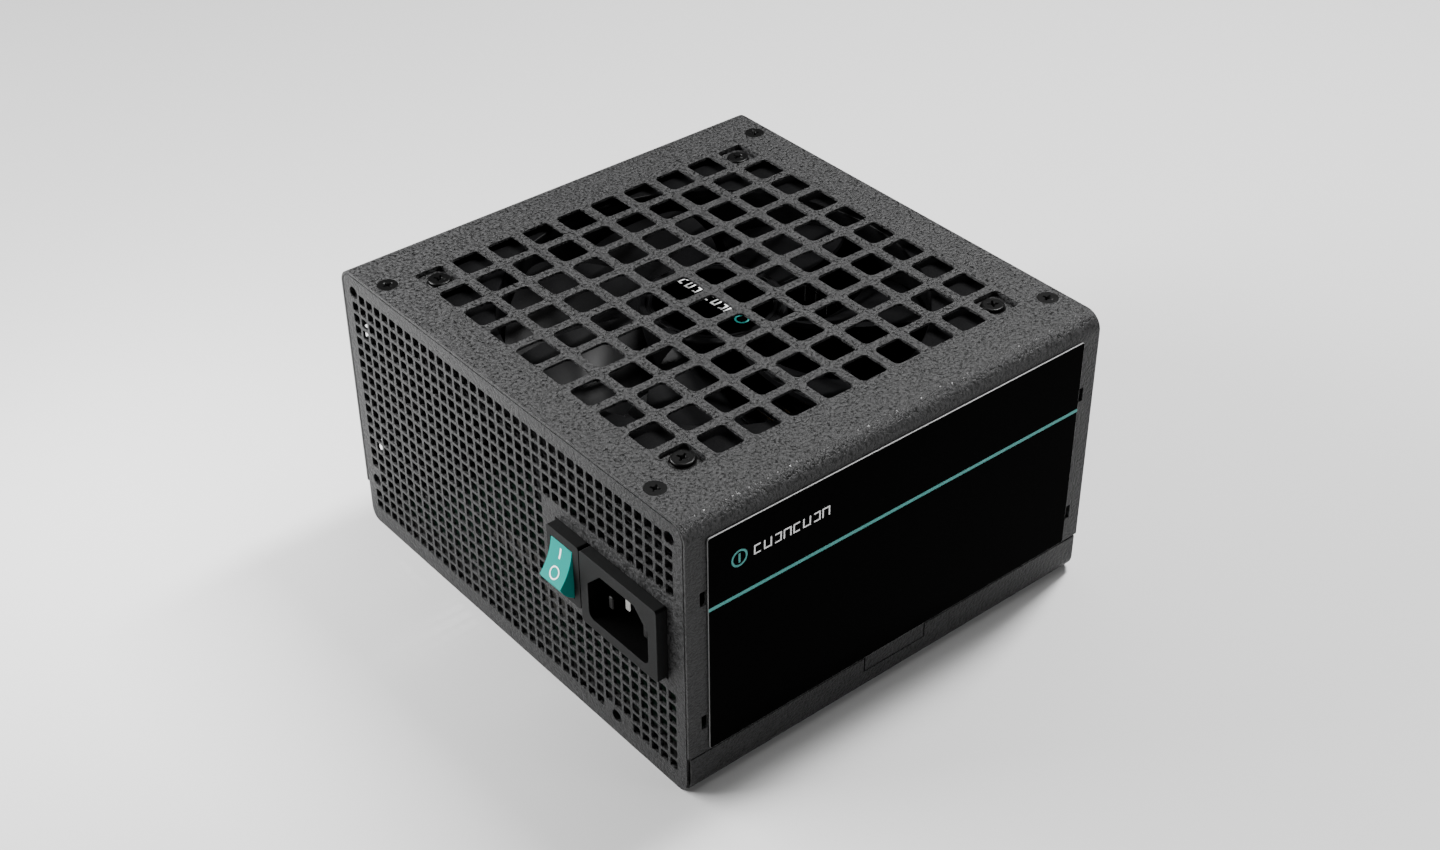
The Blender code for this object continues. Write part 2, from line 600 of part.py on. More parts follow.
def build_motor():
    """What stands still inside the hub: bearing sleeve, stator and the fan's circuit board."""
    tube("fan_bearing", 1.8, 4.0, 60.7, 77.5, (0, 0, 0), STEEL, steps=16)
    stator = tube("fan_stator", 4.4, 7.5, 66.0, 76.0, (0, 0, 0), COPPER, steps=20)
    for index in range(4):
        turn = Matrix.Rotation(math.radians(90 * index), 4, "Z")
        pole = box(f"stator_pole_{index}", (6.0, -3.0, 67.0), (14.0, 3.0, 75.0))
        pole.matrix_world = turn @ Matrix.Translation(pole.location)
        shoe = box(f"stator_shoe_{index}", (13.0, -5.5, 67.5), (15.2, 5.5, 74.5))
        shoe.matrix_world = turn @ Matrix.Translation(shoe.location)
        join(stator, pole, shoe)
    tube("fan_board", 4.4, 15.5, 62.6, 63.8, (0, 0, 0), BOARD_GREEN, steps=20)


# ---- electronics ---------------------------------------------------------------------------------
def build_board():
    """The circuit board on four standoffs, over its insulating sheet."""
    feet = [circle(place, 3.1, 12) for place in BOARD_FEET]
    sheet = [rounded((-67.0, -66.0), (67.0, 66.0), 2.0)] + feet
    plate("insulating_sheet", sheet, 0.4, (0, 0, 1.4), FILM)
    bores = [circle(place, 1.8, 12) for place in BOARD_FEET]
    board = [rounded((-66.0, -65.0), (66.0, 62.0), 1.5)] + bores
    plate("main_board", board, BOARD_T, (0, 0, BOARD_Z + BOARD_T / 2), BOARD_GREEN)
    for name, (x, y) in zip(("front_left", "front_right", "rear_left", "rear_right"), BOARD_FEET):
        tube("standoff_" + name, 1.7, 2.8, SHEET + GAP, BOARD_Z - GAP, (x, y, 0), TIN, steps=12)
        head = ((0, 11.4), (2.4, 11.1), (2.9, 10.2), (2.9, BOARD_TOP + GAP), (1.4, BOARD_TOP + GAP), (1.4, 3.0), (0, 3.0))
        turned("board_screw_" + name, head, (x, y, 0), STEEL, steps=12)


def finned_heatsink(name, x, low_y, high_y, top, side):
    """An upright plate with a row of fins along its top."""
    sink = box(name, (x - 1.5, low_y, BOARD_TOP + GAP), (x + 1.5, high_y, top), ALUMINIUM)
    low_x, high_x = sorted((x - side * 1.5, x + side * 14.0))
    join(sink, box(name + "_shelf", (low_x, low_y, top - 2.5), (high_x, high_y, top)))
    slots = []
    y = low_y + 4
    while y + 2.5 < high_y - 2:
        near, far = sorted((x + side * 4.0, x + side * 15.0))
        slots.append(((near, y, top - 4), (far, y + 2.5, top + 1)))
        y += 6.0
    return cut(sink, boxes(name + "_slots", slots))


def power_device(name, x, y, z, side):
    """A flat power package with a thin metal tab, against a heatsink."""
    low_x, high_x = sorted((x + side * 1.8, x + side * 6.2))
    package = box(name, (low_x, y - 5, z), (high_x, y + 5, z + 9.2), BLACK_PLASTIC)
    near, far = sorted((x + side * 1.8, x + side * 3.1))
    return join(package, box(name + "_tab", (near, y - 5, z + 8), (far, y + 5, z + 15.6)))


def capacitor(name, x, y, radius, height):
    """An upright can with a rolled groove under its sleeve's base."""
    base = BOARD_TOP + GAP
    groove = radius - 0.8
    profile = ((0, base + height - 0.5), (radius - 1.6, base + height - 0.5), (radius - 1.2, base + height),
               (radius - 0.5, base + height), (radius, base + height - 0.8), (radius, base + 4.5),
               (groove, base + 3.7), (groove, base + 3.2), (radius, base + 2.4), (radius, base), (0, base))
    return turned(name, profile, (x, y, 0), SLEEVE, steps=12)


def ring_coil(name, x, y, major, minor, material):
    """A winding on a ring core, lying flat over the board."""
    base = BOARD_TOP + GAP
    profile = [(major + minor * math.cos(math.radians(a)), base + minor + minor * math.sin(math.radians(a)))
               for a in range(90, -270, -60)]
    return turned(name, profile, (x, y, 0), material, steps=16, loop=True)


def transformer(core_name, winding_name, centre, core_size, winding_radius, height):
    """A ferrite core like a picture frame, round an upright winding."""
    x, y = centre
    half_x, half_y = core_size[0] / 2, core_size[1] / 2
    base, top = BOARD_TOP + GAP, BOARD_TOP + GAP + height
    leg = 4.5
    core = box(core_name, (x - half_x, y - half_y, base), (x + half_x, y + half_y, top), FERRITE)
    window = ((x - half_x + leg, y - half_y - 1, base + leg), (x + half_x - leg, y + half_y + 1, top - leg))
    cut(core, boxes(core_name + "_window", [window]))
    cylinder(winding_name, winding_radius, base + leg + GAP, top - leg - GAP, (x, y, 0), YELLOW_TAPE, steps=24)


def build_electronics():
    """The components that stand on the board."""
    base = BOARD_TOP + GAP
    finned_heatsink("primary_heatsink", 24.0, -36.0, 36.0, 52.0, -1)
    power_device("primary_transistor_front", 24.0, -22.0, 16.0, 1)
    power_device("primary_transistor_rear", 24.0, 2.0, 16.0, 1)
    power_device("bridge_rectifier", 24.0, 24.0, 16.0, 1)
    finned_heatsink("secondary_heatsink", -36.0, -36.0, 40.0, 50.0, 1)
    power_device("output_rectifier", -36.0, -8.0, 16.0, -1)
    capacitor("bulk_capacitor", 50.0, -2.0, 15.0, 42.0)
    ring_coil("power_factor_choke", 49.0, 36.0, 11.0, 4.8, COPPER)
    ring_coil("line_filter_choke", 46.0, -42.0, 9.0, 3.8, COPPER)
    ring_coil("output_inductor", -53.0, 12.0, 7.5, 4.0, COPPER)
    transformer("main_transformer_core", "main_transformer_winding", (-5.0, -8.0), (34.0, 18.0), 12.0, 34.0)
    box("standby_transformer", (-14.0, 24.0, base), (6.0, 42.0, base + 18), YELLOW_TAPE)
    box("line_filter_capacitor", (0.0, -60.0, base), (12.0, -40.0, base + 14), PALE_PLASTIC)
    bar("mains_fuse", 2.6, (-30.0, -10.0), (-54.0, base + 2.8), PALE_PLASTIC, steps=12)
    for index, (x, y) in enumerate(((-59.0, 30.0), (-59.0, 44.0), (-47.0, 30.0), (-47.0, 44.0)), 1):
        capacitor(f"output_capacitor_{index}", x, y, 5.0, 20.0)
    box("fan_connector", (14.0, 48.0, base), (22.0, 54.0, base + 9), PALE_PLASTIC)


def build_grommet():
    """The oval grommet in the cable wall, with a groove that grips the sheet."""
    inner = rounded((-50.0, 33.0), (-20.0, 47.0), 6.9, 3)
    waist = rounded((-54.0, 29.0), (-16.0, 51.0), 10.9, 3)
    lip = rounded((-56.5, 26.5), (-13.5, 53.5), 13.4, 3)
    grommet = plate("cable_grommet", [waist, inner], 5.0, (0, HALF_Y - 1.0, 0), BLACK_PLASTIC, facing="-Y")
    outer_lip = plate("grommet_outer_lip", [lip, inner], 1.2, (0, HALF_Y + GAP + 0.6, 0), facing="-Y")
    inner_lip = plate("grommet_inner_lip", [lip, inner], 1.2, (0, HALF_Y - SHEET - GAP - 0.6, 0), facing="-Y")
    return join(grommet, outer_lip, inner_lip)


build_tray()
build_cover()
build_labels()
build_case_screws()
build_inlet()
build_switch()
build_fan_frame()
build_rotor()
build_motor()
build_board()
build_electronics()
build_grommet()
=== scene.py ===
# %% [markdown]
# # A desktop computer's power supply unit
# The real thing is a box of thin steel: a folded tray with two end walls, and a U-shaped cover
# that drops over it. A fan sucks air through the cover's grille, and the mains inlet and switch
# fill two openings of the vented end wall. The CAD frame already holds every piece at its true
# place, so this script only gives the pieces their fine shapes and their finishes.

import math

import bmesh
import bpy
from mathutils import Matrix, Vector


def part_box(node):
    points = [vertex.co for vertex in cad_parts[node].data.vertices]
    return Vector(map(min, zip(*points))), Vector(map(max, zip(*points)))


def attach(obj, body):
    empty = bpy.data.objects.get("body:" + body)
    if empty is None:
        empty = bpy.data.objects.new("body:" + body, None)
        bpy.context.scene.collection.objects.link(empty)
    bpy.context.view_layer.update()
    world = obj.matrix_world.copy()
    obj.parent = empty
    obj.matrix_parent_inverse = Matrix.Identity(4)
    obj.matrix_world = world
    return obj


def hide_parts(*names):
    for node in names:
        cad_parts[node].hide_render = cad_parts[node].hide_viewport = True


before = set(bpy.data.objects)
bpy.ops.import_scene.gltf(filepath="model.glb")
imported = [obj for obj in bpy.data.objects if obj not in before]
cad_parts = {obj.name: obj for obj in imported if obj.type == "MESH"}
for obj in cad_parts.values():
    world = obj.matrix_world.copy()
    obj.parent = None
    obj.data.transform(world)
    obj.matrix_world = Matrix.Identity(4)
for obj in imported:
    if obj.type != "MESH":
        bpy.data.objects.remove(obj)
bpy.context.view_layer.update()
print("nodes:", len(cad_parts))

# %% [markdown]
# ## Working by hand, in code
# A person at the mouse picks something, enters edit mode, selects a few faces or edges by eye and
# runs a tool. These helpers do the same in code: lengths are given in millimetres, and the
# eye is replaced by a small test on the place of each face or edge. Sharp picking matters because
# every operator acts on all that is selected.

# %% Helpers: picking and selecting
MM = 0.001


def mm(*values):
    """Millimetres as Blender's metres."""
    return tuple(value * MM for value in values)


def pick(*objects):
    """Select only these objects; the last one is active."""
    bpy.ops.object.select_all(action="DESELECT")
    for obj in objects:
        obj.select_set(True)
    bpy.context.view_layer.objects.active = objects[-1]
    return objects[-1]


def edit(obj):
    """Enter edit mode on one object with nothing selected."""
    pick(obj)
    bpy.ops.object.mode_set(mode="EDIT")
    bpy.ops.mesh.select_all(action="DESELECT")


def done():
    bpy.ops.object.mode_set(mode="OBJECT")


def middle(item):
    """The centre of a vertex, edge or face, in millimetres."""
    if isinstance(item, bmesh.types.BMVert):
        return item.co / MM
    if isinstance(item, bmesh.types.BMFace):
        return item.calc_center_median() / MM
    return (item.verts[0].co + item.verts[1].co) / (2 * MM)


def near(value, target, slack=0.02):
    return abs(value - target) < slack


def choose(kind, test):
    """Select the VERT, EDGE or FACE items that pass the test, and count them."""
    bpy.ops.mesh.select_mode(type=kind)
    bpy.ops.mesh.select_all(action="DESELECT")
    mesh = bpy.context.edit_object.data
    shape = bmesh.from_edit_mesh(mesh)
    items = {"VERT": shape.verts, "EDGE": shape.edges, "FACE": shape.faces}[kind]
    found = [item for item in items if test(item)]
    for item in found:
        item.select_set(True)
    shape.select_flush_mode()
    bmesh.update_edit_mesh(mesh)
    return len(found)


def upright(edge):
    """True for an edge that runs along Z."""
    run = (edge.verts[0].co - edge.verts[1].co) / MM
    return abs(run.x) < 0.001 and abs(run.y) < 0.001


def pull(x=0.0, y=0.0, z=0.0):
    """Extrude what is selected by a step in millimetres."""
    bpy.ops.mesh.extrude_region_move(TRANSFORM_OT_translate={"value": mm(x, y, z)})


def face_out(obj):
    """Make every face point outwards."""
    edit(obj)
    bpy.ops.mesh.select_all(action="SELECT")
    bpy.ops.mesh.normals_make_consistent(inside=False)
    done()


# %% [markdown]
# ## Modifiers that are used again and again
# Sheet metal is drawn as a surface without thickness and Solidify then gives it its gauge. A
# Bevel breaks its edges, because no real edge is perfectly sharp and it is the tiny
# chamfer that catches the light. Booleans punch what is easier to punch than to draw.

# %% Helpers: modifiers and primitives
def apply(obj, kind, **settings):
    """Add one modifier, set it and apply it."""
    pick(obj)
    step = obj.modifiers.new(kind.lower(), kind)
    for key, value in settings.items():
        setattr(step, key, value)
    bpy.ops.object.modifier_apply(modifier=step.name)
    return obj


def gauge(obj, thickness, offset=-1.0):
    """Give a surface its sheet thickness, inwards by default."""
    return apply(obj, "SOLIDIFY", thickness=thickness * MM, offset=offset, use_even_offset=True)


def soften(obj, width, segments=2, angle=50):
    """Break every edge sharper than the angle."""
    return apply(obj, "BEVEL", width=width * MM, segments=segments, limit_method="ANGLE",
                 angle_limit=math.radians(angle), use_clamp_overlap=True)


def combine(obj, others, operation="DIFFERENCE"):
    """Cut the others out of obj, or join or keep the overlap, and remove them."""
    for other in others:
        apply(obj, "BOOLEAN", operation=operation, solver="EXACT", object=other)
        bpy.data.objects.remove(other, do_unlink=True)
    return obj


def block(low, high, radius=0.0, segments=2):
    """A block between two corners, with its edges rounded if a radius is given."""
    centre = [(a + b) / 2 for a, b in zip(low, high)]
    size = [b - a for a, b in zip(low, high)]
    bpy.ops.mesh.primitive_cube_add(size=1, location=mm(*centre), scale=mm(*size))
    bpy.ops.object.transform_apply()
    obj = bpy.context.object
    if radius:
        soften(obj, radius, segments)
    return obj


TURNS = {"X": (0, math.radians(90), 0), "Y": (math.radians(90), 0, 0), "Z": (0, 0, 0)}


def rod(radius, start, end, axis="Z", at=(0, 0, 0), sides=48, tip=None):
    """A round bar or, with a tip radius, a cone that runs along an axis from start to end."""
    index = "XYZ".index(axis)
    centre = list(at)
    centre[index] = (start + end) / 2
    tip = radius if tip is None else tip
    first, last = (tip, radius) if axis == "Y" else (radius, tip)
    bpy.ops.mesh.primitive_cone_add(vertices=sides, radius1=first * MM, radius2=last * MM,
                                    depth=(end - start) * MM, location=mm(*centre),
                                    rotation=TURNS[axis])
    bpy.ops.object.transform_apply()
    return bpy.context.object


def slab(low, high, thickness, radii, axis="Z", at=0.0, segments=6):
    """A flat sheet with rounded corners, drawn face on and then turned towards its axis.

    radii gives the corner radius at (low, low), (high, low), (high, high) and (low, high).
    """
    centre = [(a + b) / 2 for a, b in zip(low, high)]
    size = [b - a for a, b in zip(low, high)]
    bpy.ops.mesh.primitive_plane_add(size=1, location=mm(*centre, 0))
    obj = bpy.context.object
    obj.scale = mm(*size, 1000)
    bpy.ops.object.transform_apply()
    corners = ((low[0], low[1]), (high[0], low[1]), (high[0], high[1]), (low[0], high[1]))
    edit(obj)
    for (x, y), radius in zip(corners, radii):
        if radius:
            steps = 1 if radius < 0 else segments
            choose("VERT", lambda v: near(v.co.x / MM, x) and near(v.co.y / MM, y))
            bpy.ops.mesh.bevel(offset=abs(radius) * MM, segments=steps, affect="VERTICES")
    bpy.ops.mesh.select_all(action="SELECT")
    pull(0, 0, thickness)
    bpy.ops.mesh.select_all(action="SELECT")
    bpy.ops.mesh.normals_make_consistent(inside=False)
    done()
    turn = {"Z": Matrix.Identity(4),
            "Y": Matrix(((1, 0, 0, 0), (0, 0, 1, 0), (0, 1, 0, 0), (0, 0, 0, 1))),
            "X": Matrix(((0, 0, 1, 0), (1, 0, 0, 0), (0, 1, 0, 0), (0, 0, 0, 1)))}[axis]
    shift = [0.0, 0.0, 0.0]
    shift["XYZ".index(axis)] = at * MM
    obj.data.transform(Matrix.Translation(shift) @ turn)
    if axis == "Y":
        face_out(obj)
    return obj


def seat(obj, name, body, nodes=(), smooth=50, weighted=True):
    """Name a finished piece, shade it, and tie it to its body and its CAD nodes."""
    pick(obj)
    bpy.ops.object.transform_apply()
    bpy.ops.object.shade_smooth_by_angle(angle=math.radians(smooth))
    if weighted:
        apply(obj, "WEIGHTED_NORMAL", keep_sharp=True, weight=50)
    obj.name = obj.data.name = name
    if nodes:
        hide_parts(*nodes)
    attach(obj, body)
    print(f"{name}: {len(obj.data.polygons)} faces")
    return obj


# %% [markdown]
# ## Finishes
# A finish is a colour, a roughness and a fine relief. Each is built from noise on the piece's own
# object coordinates, so the grain stays at its real size and rides with the piece. The
# speckle is shared by the powder coat and the plastics, so it is one node group that
# hands out a mask and a height.

# %% The shared speckle group
def value_socket(group, name, low, in_out="INPUT", kind="NodeSocketFloat"):
    socket = group.interface.new_socket(name, in_out=in_out, socket_type=kind)
    if in_out == "INPUT":
        socket.default_value = low
    return socket


NOISE_SPAN = (0.36, 0.64)  # the middle of the noise, spread over 0 to 1


def make_speckle():
    """Two sizes of noise: a fine grain and a slow drift, both from 0 to 1."""
    group = bpy.data.node_groups.new("speckle", "ShaderNodeTree")
    value_socket(group, "Grain size", 0.3)
    value_socket(group, "Drift size", 20.0)
    value_socket(group, "Grain", 0, "OUTPUT")
    value_socket(group, "Drift", 0, "OUTPUT")
    nodes, link = group.nodes, group.links.new
    start, end = nodes.new("NodeGroupInput"), nodes.new("NodeGroupOutput")
    place = nodes.new("ShaderNodeTexCoord")
    for socket, detail in (("Grain", 3.0), ("Drift", 2.0)):
        scale = nodes.new("ShaderNodeMath")
        scale.operation = "DIVIDE"
        scale.inputs[0].default_value = 1000.0
        link(start.outputs[socket + " size"], scale.inputs[1])
        noise = nodes.new("ShaderNodeTexNoise")
        noise.inputs["Detail"].default_value = detail
        noise.inputs["Roughness"].default_value = 0.6
        link(place.outputs["Object"], noise.inputs["Vector"])
        link(scale.outputs[0], noise.inputs["Scale"])
        spread = nodes.new("ShaderNodeMapRange")
        ends = spread.inputs["From Min"], spread.inputs["From Max"]
        ends[0].default_value, ends[1].default_value = NOISE_SPAN
        link(noise.outputs[0], spread.inputs["Value"])
        link(spread.outputs[0], end.inputs[socket])
    return group


SPECKLE = make_speckle()


# %% A finish maker
def finish(name, dark, light, rough, grain=0.3, drift=20.0, bump=0.02, metallic=0.0, specular=0.5,
           tint=0.35):
    """A finish whose colour, roughness and height follow the speckle.

    dark, light and rough are the ends of its ranges, grain, drift and bump are in millimetres, and
    tint is the share of the slow drift in the mask.
    """
    material = bpy.data.materials.new(name)
    material.use_nodes = True
    nodes, link = material.node_tree.nodes, material.node_tree.links.new
    shader = nodes["Principled BSDF"]
    shader.inputs["Metallic"].default_value = metallic
    shader.inputs["Specular IOR Level"].default_value = specular
    speckle = nodes.new("ShaderNodeGroup")
    speckle.node_tree = SPECKLE
    speckle.inputs["Grain size"].default_value = grain
    speckle.inputs["Drift size"].default_value = drift
    mask = nodes.new("ShaderNodeMix")
    mask.inputs["Factor"].default_value = tint
    link(speckle.outputs["Grain"], mask.inputs["A"])
    link(speckle.outputs["Drift"], mask.inputs["B"])
    color = nodes.new("ShaderNodeMix")
    color.data_type = "RGBA"
    color.inputs["A"].default_value = (*dark, 1)
    color.inputs["B"].default_value = (*light, 1)
    link(mask.outputs["Result"], color.inputs["Factor"])
    link(color.outputs["Result"], shader.inputs["Base Color"])
    shine = nodes.new("ShaderNodeMapRange")
    shine.inputs["To Min"].default_value, shine.inputs["To Max"].default_value = rough
    link(mask.outputs["Result"], shine.inputs["Value"])
    link(shine.outputs[0], shader.inputs["Roughness"])
    relief = nodes.new("ShaderNodeBump")
    relief.inputs["Strength"].default_value = 0.6
    relief.inputs["Distance"].default_value = bump * MM
    link(speckle.outputs["Grain"], relief.inputs["Height"])
    link(relief.outputs[0], shader.inputs["Normal"])
    return material


POWDER = finish("powder_coat", (0.0,) * 3, (0.027, 0.027, 0.0275), (0.3, 0.6), grain=0.85, drift=35,
                bump=0.36, tint=0.03, specular=0.2)
GREY_PLASTIC = finish("grey_plastic", (0.004, 0.0041, 0.0041), (0.006, 0.0062, 0.0062), (0.5, 0.6),
                      grain=0.18, bump=0.01, specular=0.1)
TEAL_PLASTIC = finish("teal_plastic", (0.0, 0.19, 0.165), (0.0, 0.21, 0.185), (0.4, 0.48),
                      grain=0.2, bump=0.004, specular=0.04)
BLACK_PLASTIC = finish("black_plastic", (0.002, 0.002, 0.0022), (0.005, 0.005, 0.0052),
                       (0.32, 0.42), grain=0.25, bump=0.006, specular=0.03)
BLACK_STEEL = finish("black_screw_steel", (0.0005,) * 3, (0.002,) * 3, (0.3, 0.42), grain=0.15,
                     bump=0.008, specular=0.1)
GLOSS = finish("gloss_panel", (0.0,) * 3, (0.0002,) * 3, (0.14, 0.18), grain=1.5, drift=40,
               bump=0.001, specular=0.004)
EDGE_GREY = finish("panel_edge", (0.16,) * 3, (0.2,) * 3, (0.4, 0.5), grain=0.3, bump=0.002)
TEAL_INK = finish("teal_ink", (0.005, 0.2, 0.18), (0.008, 0.23, 0.21), (0.45, 0.55), grain=0.4,
                  bump=0.001)
WHITE_INK = finish("white_ink", (0.72,) * 3, (0.8,) * 3, (0.4, 0.5), grain=0.4, bump=0.001)
TIN = finish("tinned_brass", (0.3, 0.295, 0.28), (0.4, 0.395, 0.38), (0.25, 0.38), grain=0.5,
             bump=0.004, metallic=1.0)
# A darker copy of the tinned brass for the line and neutral pins: painted shade, since they stand
# deep in the mouth's shade.
SHADED_PIN_METAL = finish("pin_metal_painted_shade", (0.01, 0.01, 0.0098), (0.018, 0.018, 0.0176), (0.35, 0.45),
                   grain=0.5, bump=0.004, metallic=1.0)
print("finishes:", len(bpy.data.materials))

# %% [markdown]
# ## The cover
# The real cover is one sheet of 0.8 mm steel. A press punches ten rows of ten square holes, the
# four corner cells only as shallow pockets for the fan's screws, and a brake then folds
# the two long sides down. It could be cut out of a solid, but the same order as in the factory is
# simpler: a grid is inset cell by cell, the insets become holes or pockets, and its border is
# pulled out, round the bends and down.

# %% Cover: driving sizes
cover_low, cover_high = (tuple(c / MM for c in corner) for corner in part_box("top_cover"))
HALF_X, HALF_Y, TOP = cover_high[0], cover_high[1], cover_high[2]
SHEET, BEND = 0.8, 5.0
SEAM = 12.7
CELLS, PITCH, HOLE, HOLE_R = 10, 11.77, 9.1, 1.6
POCKET = 1.6
TAB_HALF, TAB_LOW = 10.6, cover_low[2]
grille_half = CELLS * PITCH / 2
print("cover box:", [round(value, 2) for value in (*cover_low, *cover_high)])

# %% Cover: punch the grille and press the pockets
bpy.ops.mesh.primitive_grid_add(x_subdivisions=CELLS, y_subdivisions=CELLS, size=CELLS * PITCH * MM,
                                location=mm(0, 0, TOP))
bpy.ops.object.transform_apply()
cover = bpy.context.object
edit(cover)
bpy.ops.mesh.select_all(action="SELECT")
bpy.ops.mesh.inset(thickness=(PITCH - HOLE) / 2 * MM, use_individual=True)
cell_area = HOLE * HOLE


def is_cell(face):
    return near(face.calc_area() / MM**2, cell_area, 1.0)


def in_corner(face):
    return min(abs(middle(face).x), abs(middle(face).y)) > 4 * PITCH


pockets = choose("FACE", lambda f: is_cell(f) and in_corner(f))
pull(z=-POCKET)
holes = choose("FACE", lambda f: is_cell(f) and not in_corner(f))
bpy.ops.mesh.delete(type="FACE")
choose("EDGE", upright)
bpy.ops.mesh.bevel(offset=HOLE_R * MM, segments=5, affect="EDGES")
print("pockets", pockets, "holes", holes)

# %% Cover: fold the sides down
for side in (-1, 1):
    choose("EDGE", lambda e: e.is_boundary and near(middle(e).x, side * grille_half))
    pull(x=side * (HALF_X - BEND - grille_half))
    bpy.ops.mesh.spin(steps=10, angle=math.radians(90),
                      center=mm(side * (HALF_X - BEND), 0, TOP - BEND), axis=(0, -side, 0))
    choose("EDGE", lambda e: e.is_boundary and near(middle(e).x, side * HALF_X)
           and near(middle(e).z, TOP - BEND))
    pull(z=SEAM + BEND - TOP)
for side in (-1, 1):
    choose("EDGE", lambda e: e.is_boundary and near(middle(e).y, side * grille_half)
           and near(e.verts[0].co.y, e.verts[1].co.y, 0.00001))
    pull(y=side * (HALF_Y - grille_half))

# %% Cover: a short tab in the middle of each side drops into the tray's notch
for side in (-1, 1):
    choose("FACE", lambda f: abs(middle(f).x) > HALF_X - 0.1 and middle(f).z < TOP - BEND)
    bpy.ops.mesh.bisect(plane_co=mm(0, side * TAB_HALF, 0), plane_no=(0, 1, 0))
for side in (-1, 1):
    choose("EDGE", lambda e: near(middle(e).x, side * HALF_X) and near(middle(e).z, SEAM)
           and abs(middle(e).y) < TAB_HALF and not upright(e))
    pull(z=TAB_LOW - SEAM)
bpy.ops.mesh.select_all(action="SELECT")
bpy.ops.mesh.remove_doubles(threshold=0.00001)
bpy.ops.mesh.normals_make_consistent(inside=False)
done()
if max(cover.data.polygons, key=lambda p: p.area).normal.z < -0.5:
    cover.data.flip_normals()

# %% Cover: gauge, round hole corners, countersinks and slots
gauge(cover, SHEET)
edit(cover)


def hole_corner(edge):
    x, y, z = middle(edge)
    inside = max(abs(x), abs(y)) < grille_half - 0.5
    in_sheet = z > TOP - SHEET - 0.1
    return upright(edge) and inside and in_sheet and min(abs(x), abs(y)) <= 4 * PITCH


rounded_edges = choose("EDGE", hole_corner)
bpy.ops.mesh.bevel(offset=HOLE_R * MM, segments=4, affect="EDGES")
done()
print("rounded hole corners:", rounded_edges, "of", 4 * holes)

COVER_SCREWS = ((-58.2, -65.3), (58.2, -65.3), (-60.1, 65.3), (60.1, 65.3))
FAN_SCREWS = tuple((x, y) for x in (-52.5, 52.5) for y in (-52.5, 52.5))
SINK_R, SINK_SLOPE, SINK_UP, SINK_DOWN = 3.0, 0.75, 0.4, 1.2
cutters = []
for x, y in COVER_SCREWS:
    cutters.append(rod(SINK_R - SINK_SLOPE * SINK_DOWN, TOP - SINK_DOWN, TOP + SINK_UP,
                       at=(x, y, 0), tip=SINK_R + SINK_SLOPE * SINK_UP))
for x, y in FAN_SCREWS:
    cutters.append(rod(1.9, TOP - 4, TOP + 1, at=(x, y, 0), sides=24))
SLOT_Y, SLOT_W = 64.85, 2.0
for y in (-SLOT_Y, SLOT_Y):
    for low, high in ((20.7, 25.0), (60.5, 64.8)):
        for side in (-1, 1):
            span = sorted((side * (HALF_X - 2), side * (HALF_X + 1)))
            cutters.append(block((span[0], y - SLOT_W / 2, low), (span[1], y + SLOT_W / 2, high)))
combine(cover, cutters)
soften(cover, 0.13, segments=2)
cover.data.materials.append(POWDER)
seat(cover, "cover_shell", "case", ["top_cover"])

# %% [markdown]
# ## The tray
# The lower half is a second sheet: a floor whose long sides turn up into low flanges, and two end
# walls. The mains wall is almost all vent, 37 columns by 20 rows of small square holes. Punching
# 621 holes with Booleans would be slow and fragile, so the wall starts as a grid of 740
# cells, every cell is inset, and the cells that are holes on the real wall are deleted.

# %% Tray: floor and flanges
FLANGE_TOP = 12.3
FLOOR_Y = HALF_Y - 0.7
NOTCH_HALF, NOTCH_LOW = TAB_HALF + 0.4, TAB_LOW - 0.4
floor_sheet = block((BEND - HALF_X, -FLOOR_Y, -1), (HALF_X - BEND, FLOOR_Y, 0))
edit(floor_sheet)
choose("FACE", lambda f: f.normal.z < 0.5)
bpy.ops.mesh.delete(type="FACE")
for side in (-1, 1):
    choose("EDGE", lambda e: near(middle(e).x, side * (HALF_X - BEND)))
    bpy.ops.mesh.spin(steps=10, angle=math.radians(90), center=mm(side * (HALF_X - BEND), 0, BEND),
                      axis=(0, side, 0))
    choose("EDGE", lambda e: e.is_boundary and near(middle(e).x, side * HALF_X)
           and near(middle(e).z, BEND))
    pull(z=FLANGE_TOP - BEND)
for cut_y, cut_z, direction in ((-NOTCH_HALF, 0, (0, 1, 0)), (NOTCH_HALF, 0, (0, 1, 0)),
                                (0, NOTCH_LOW, (0, 0, 1))):
    choose("FACE", lambda f: abs(middle(f).x) > HALF_X - 0.1 and middle(f).z > BEND)
    bpy.ops.mesh.bisect(plane_co=mm(0, cut_y, cut_z), plane_no=direction)
choose("FACE", lambda f: middle(f).z > NOTCH_LOW and abs(middle(f).y) < NOTCH_HALF)
bpy.ops.mesh.delete(type="FACE")
bpy.ops.mesh.select_all(action="SELECT")
bpy.ops.mesh.normals_make_consistent(inside=False)
done()
if max(floor_sheet.data.polygons, key=lambda p: p.area).normal.z > 0:
    floor_sheet.data.flip_normals()
gauge(floor_sheet, SHEET)
soften(floor_sheet, 0.13)

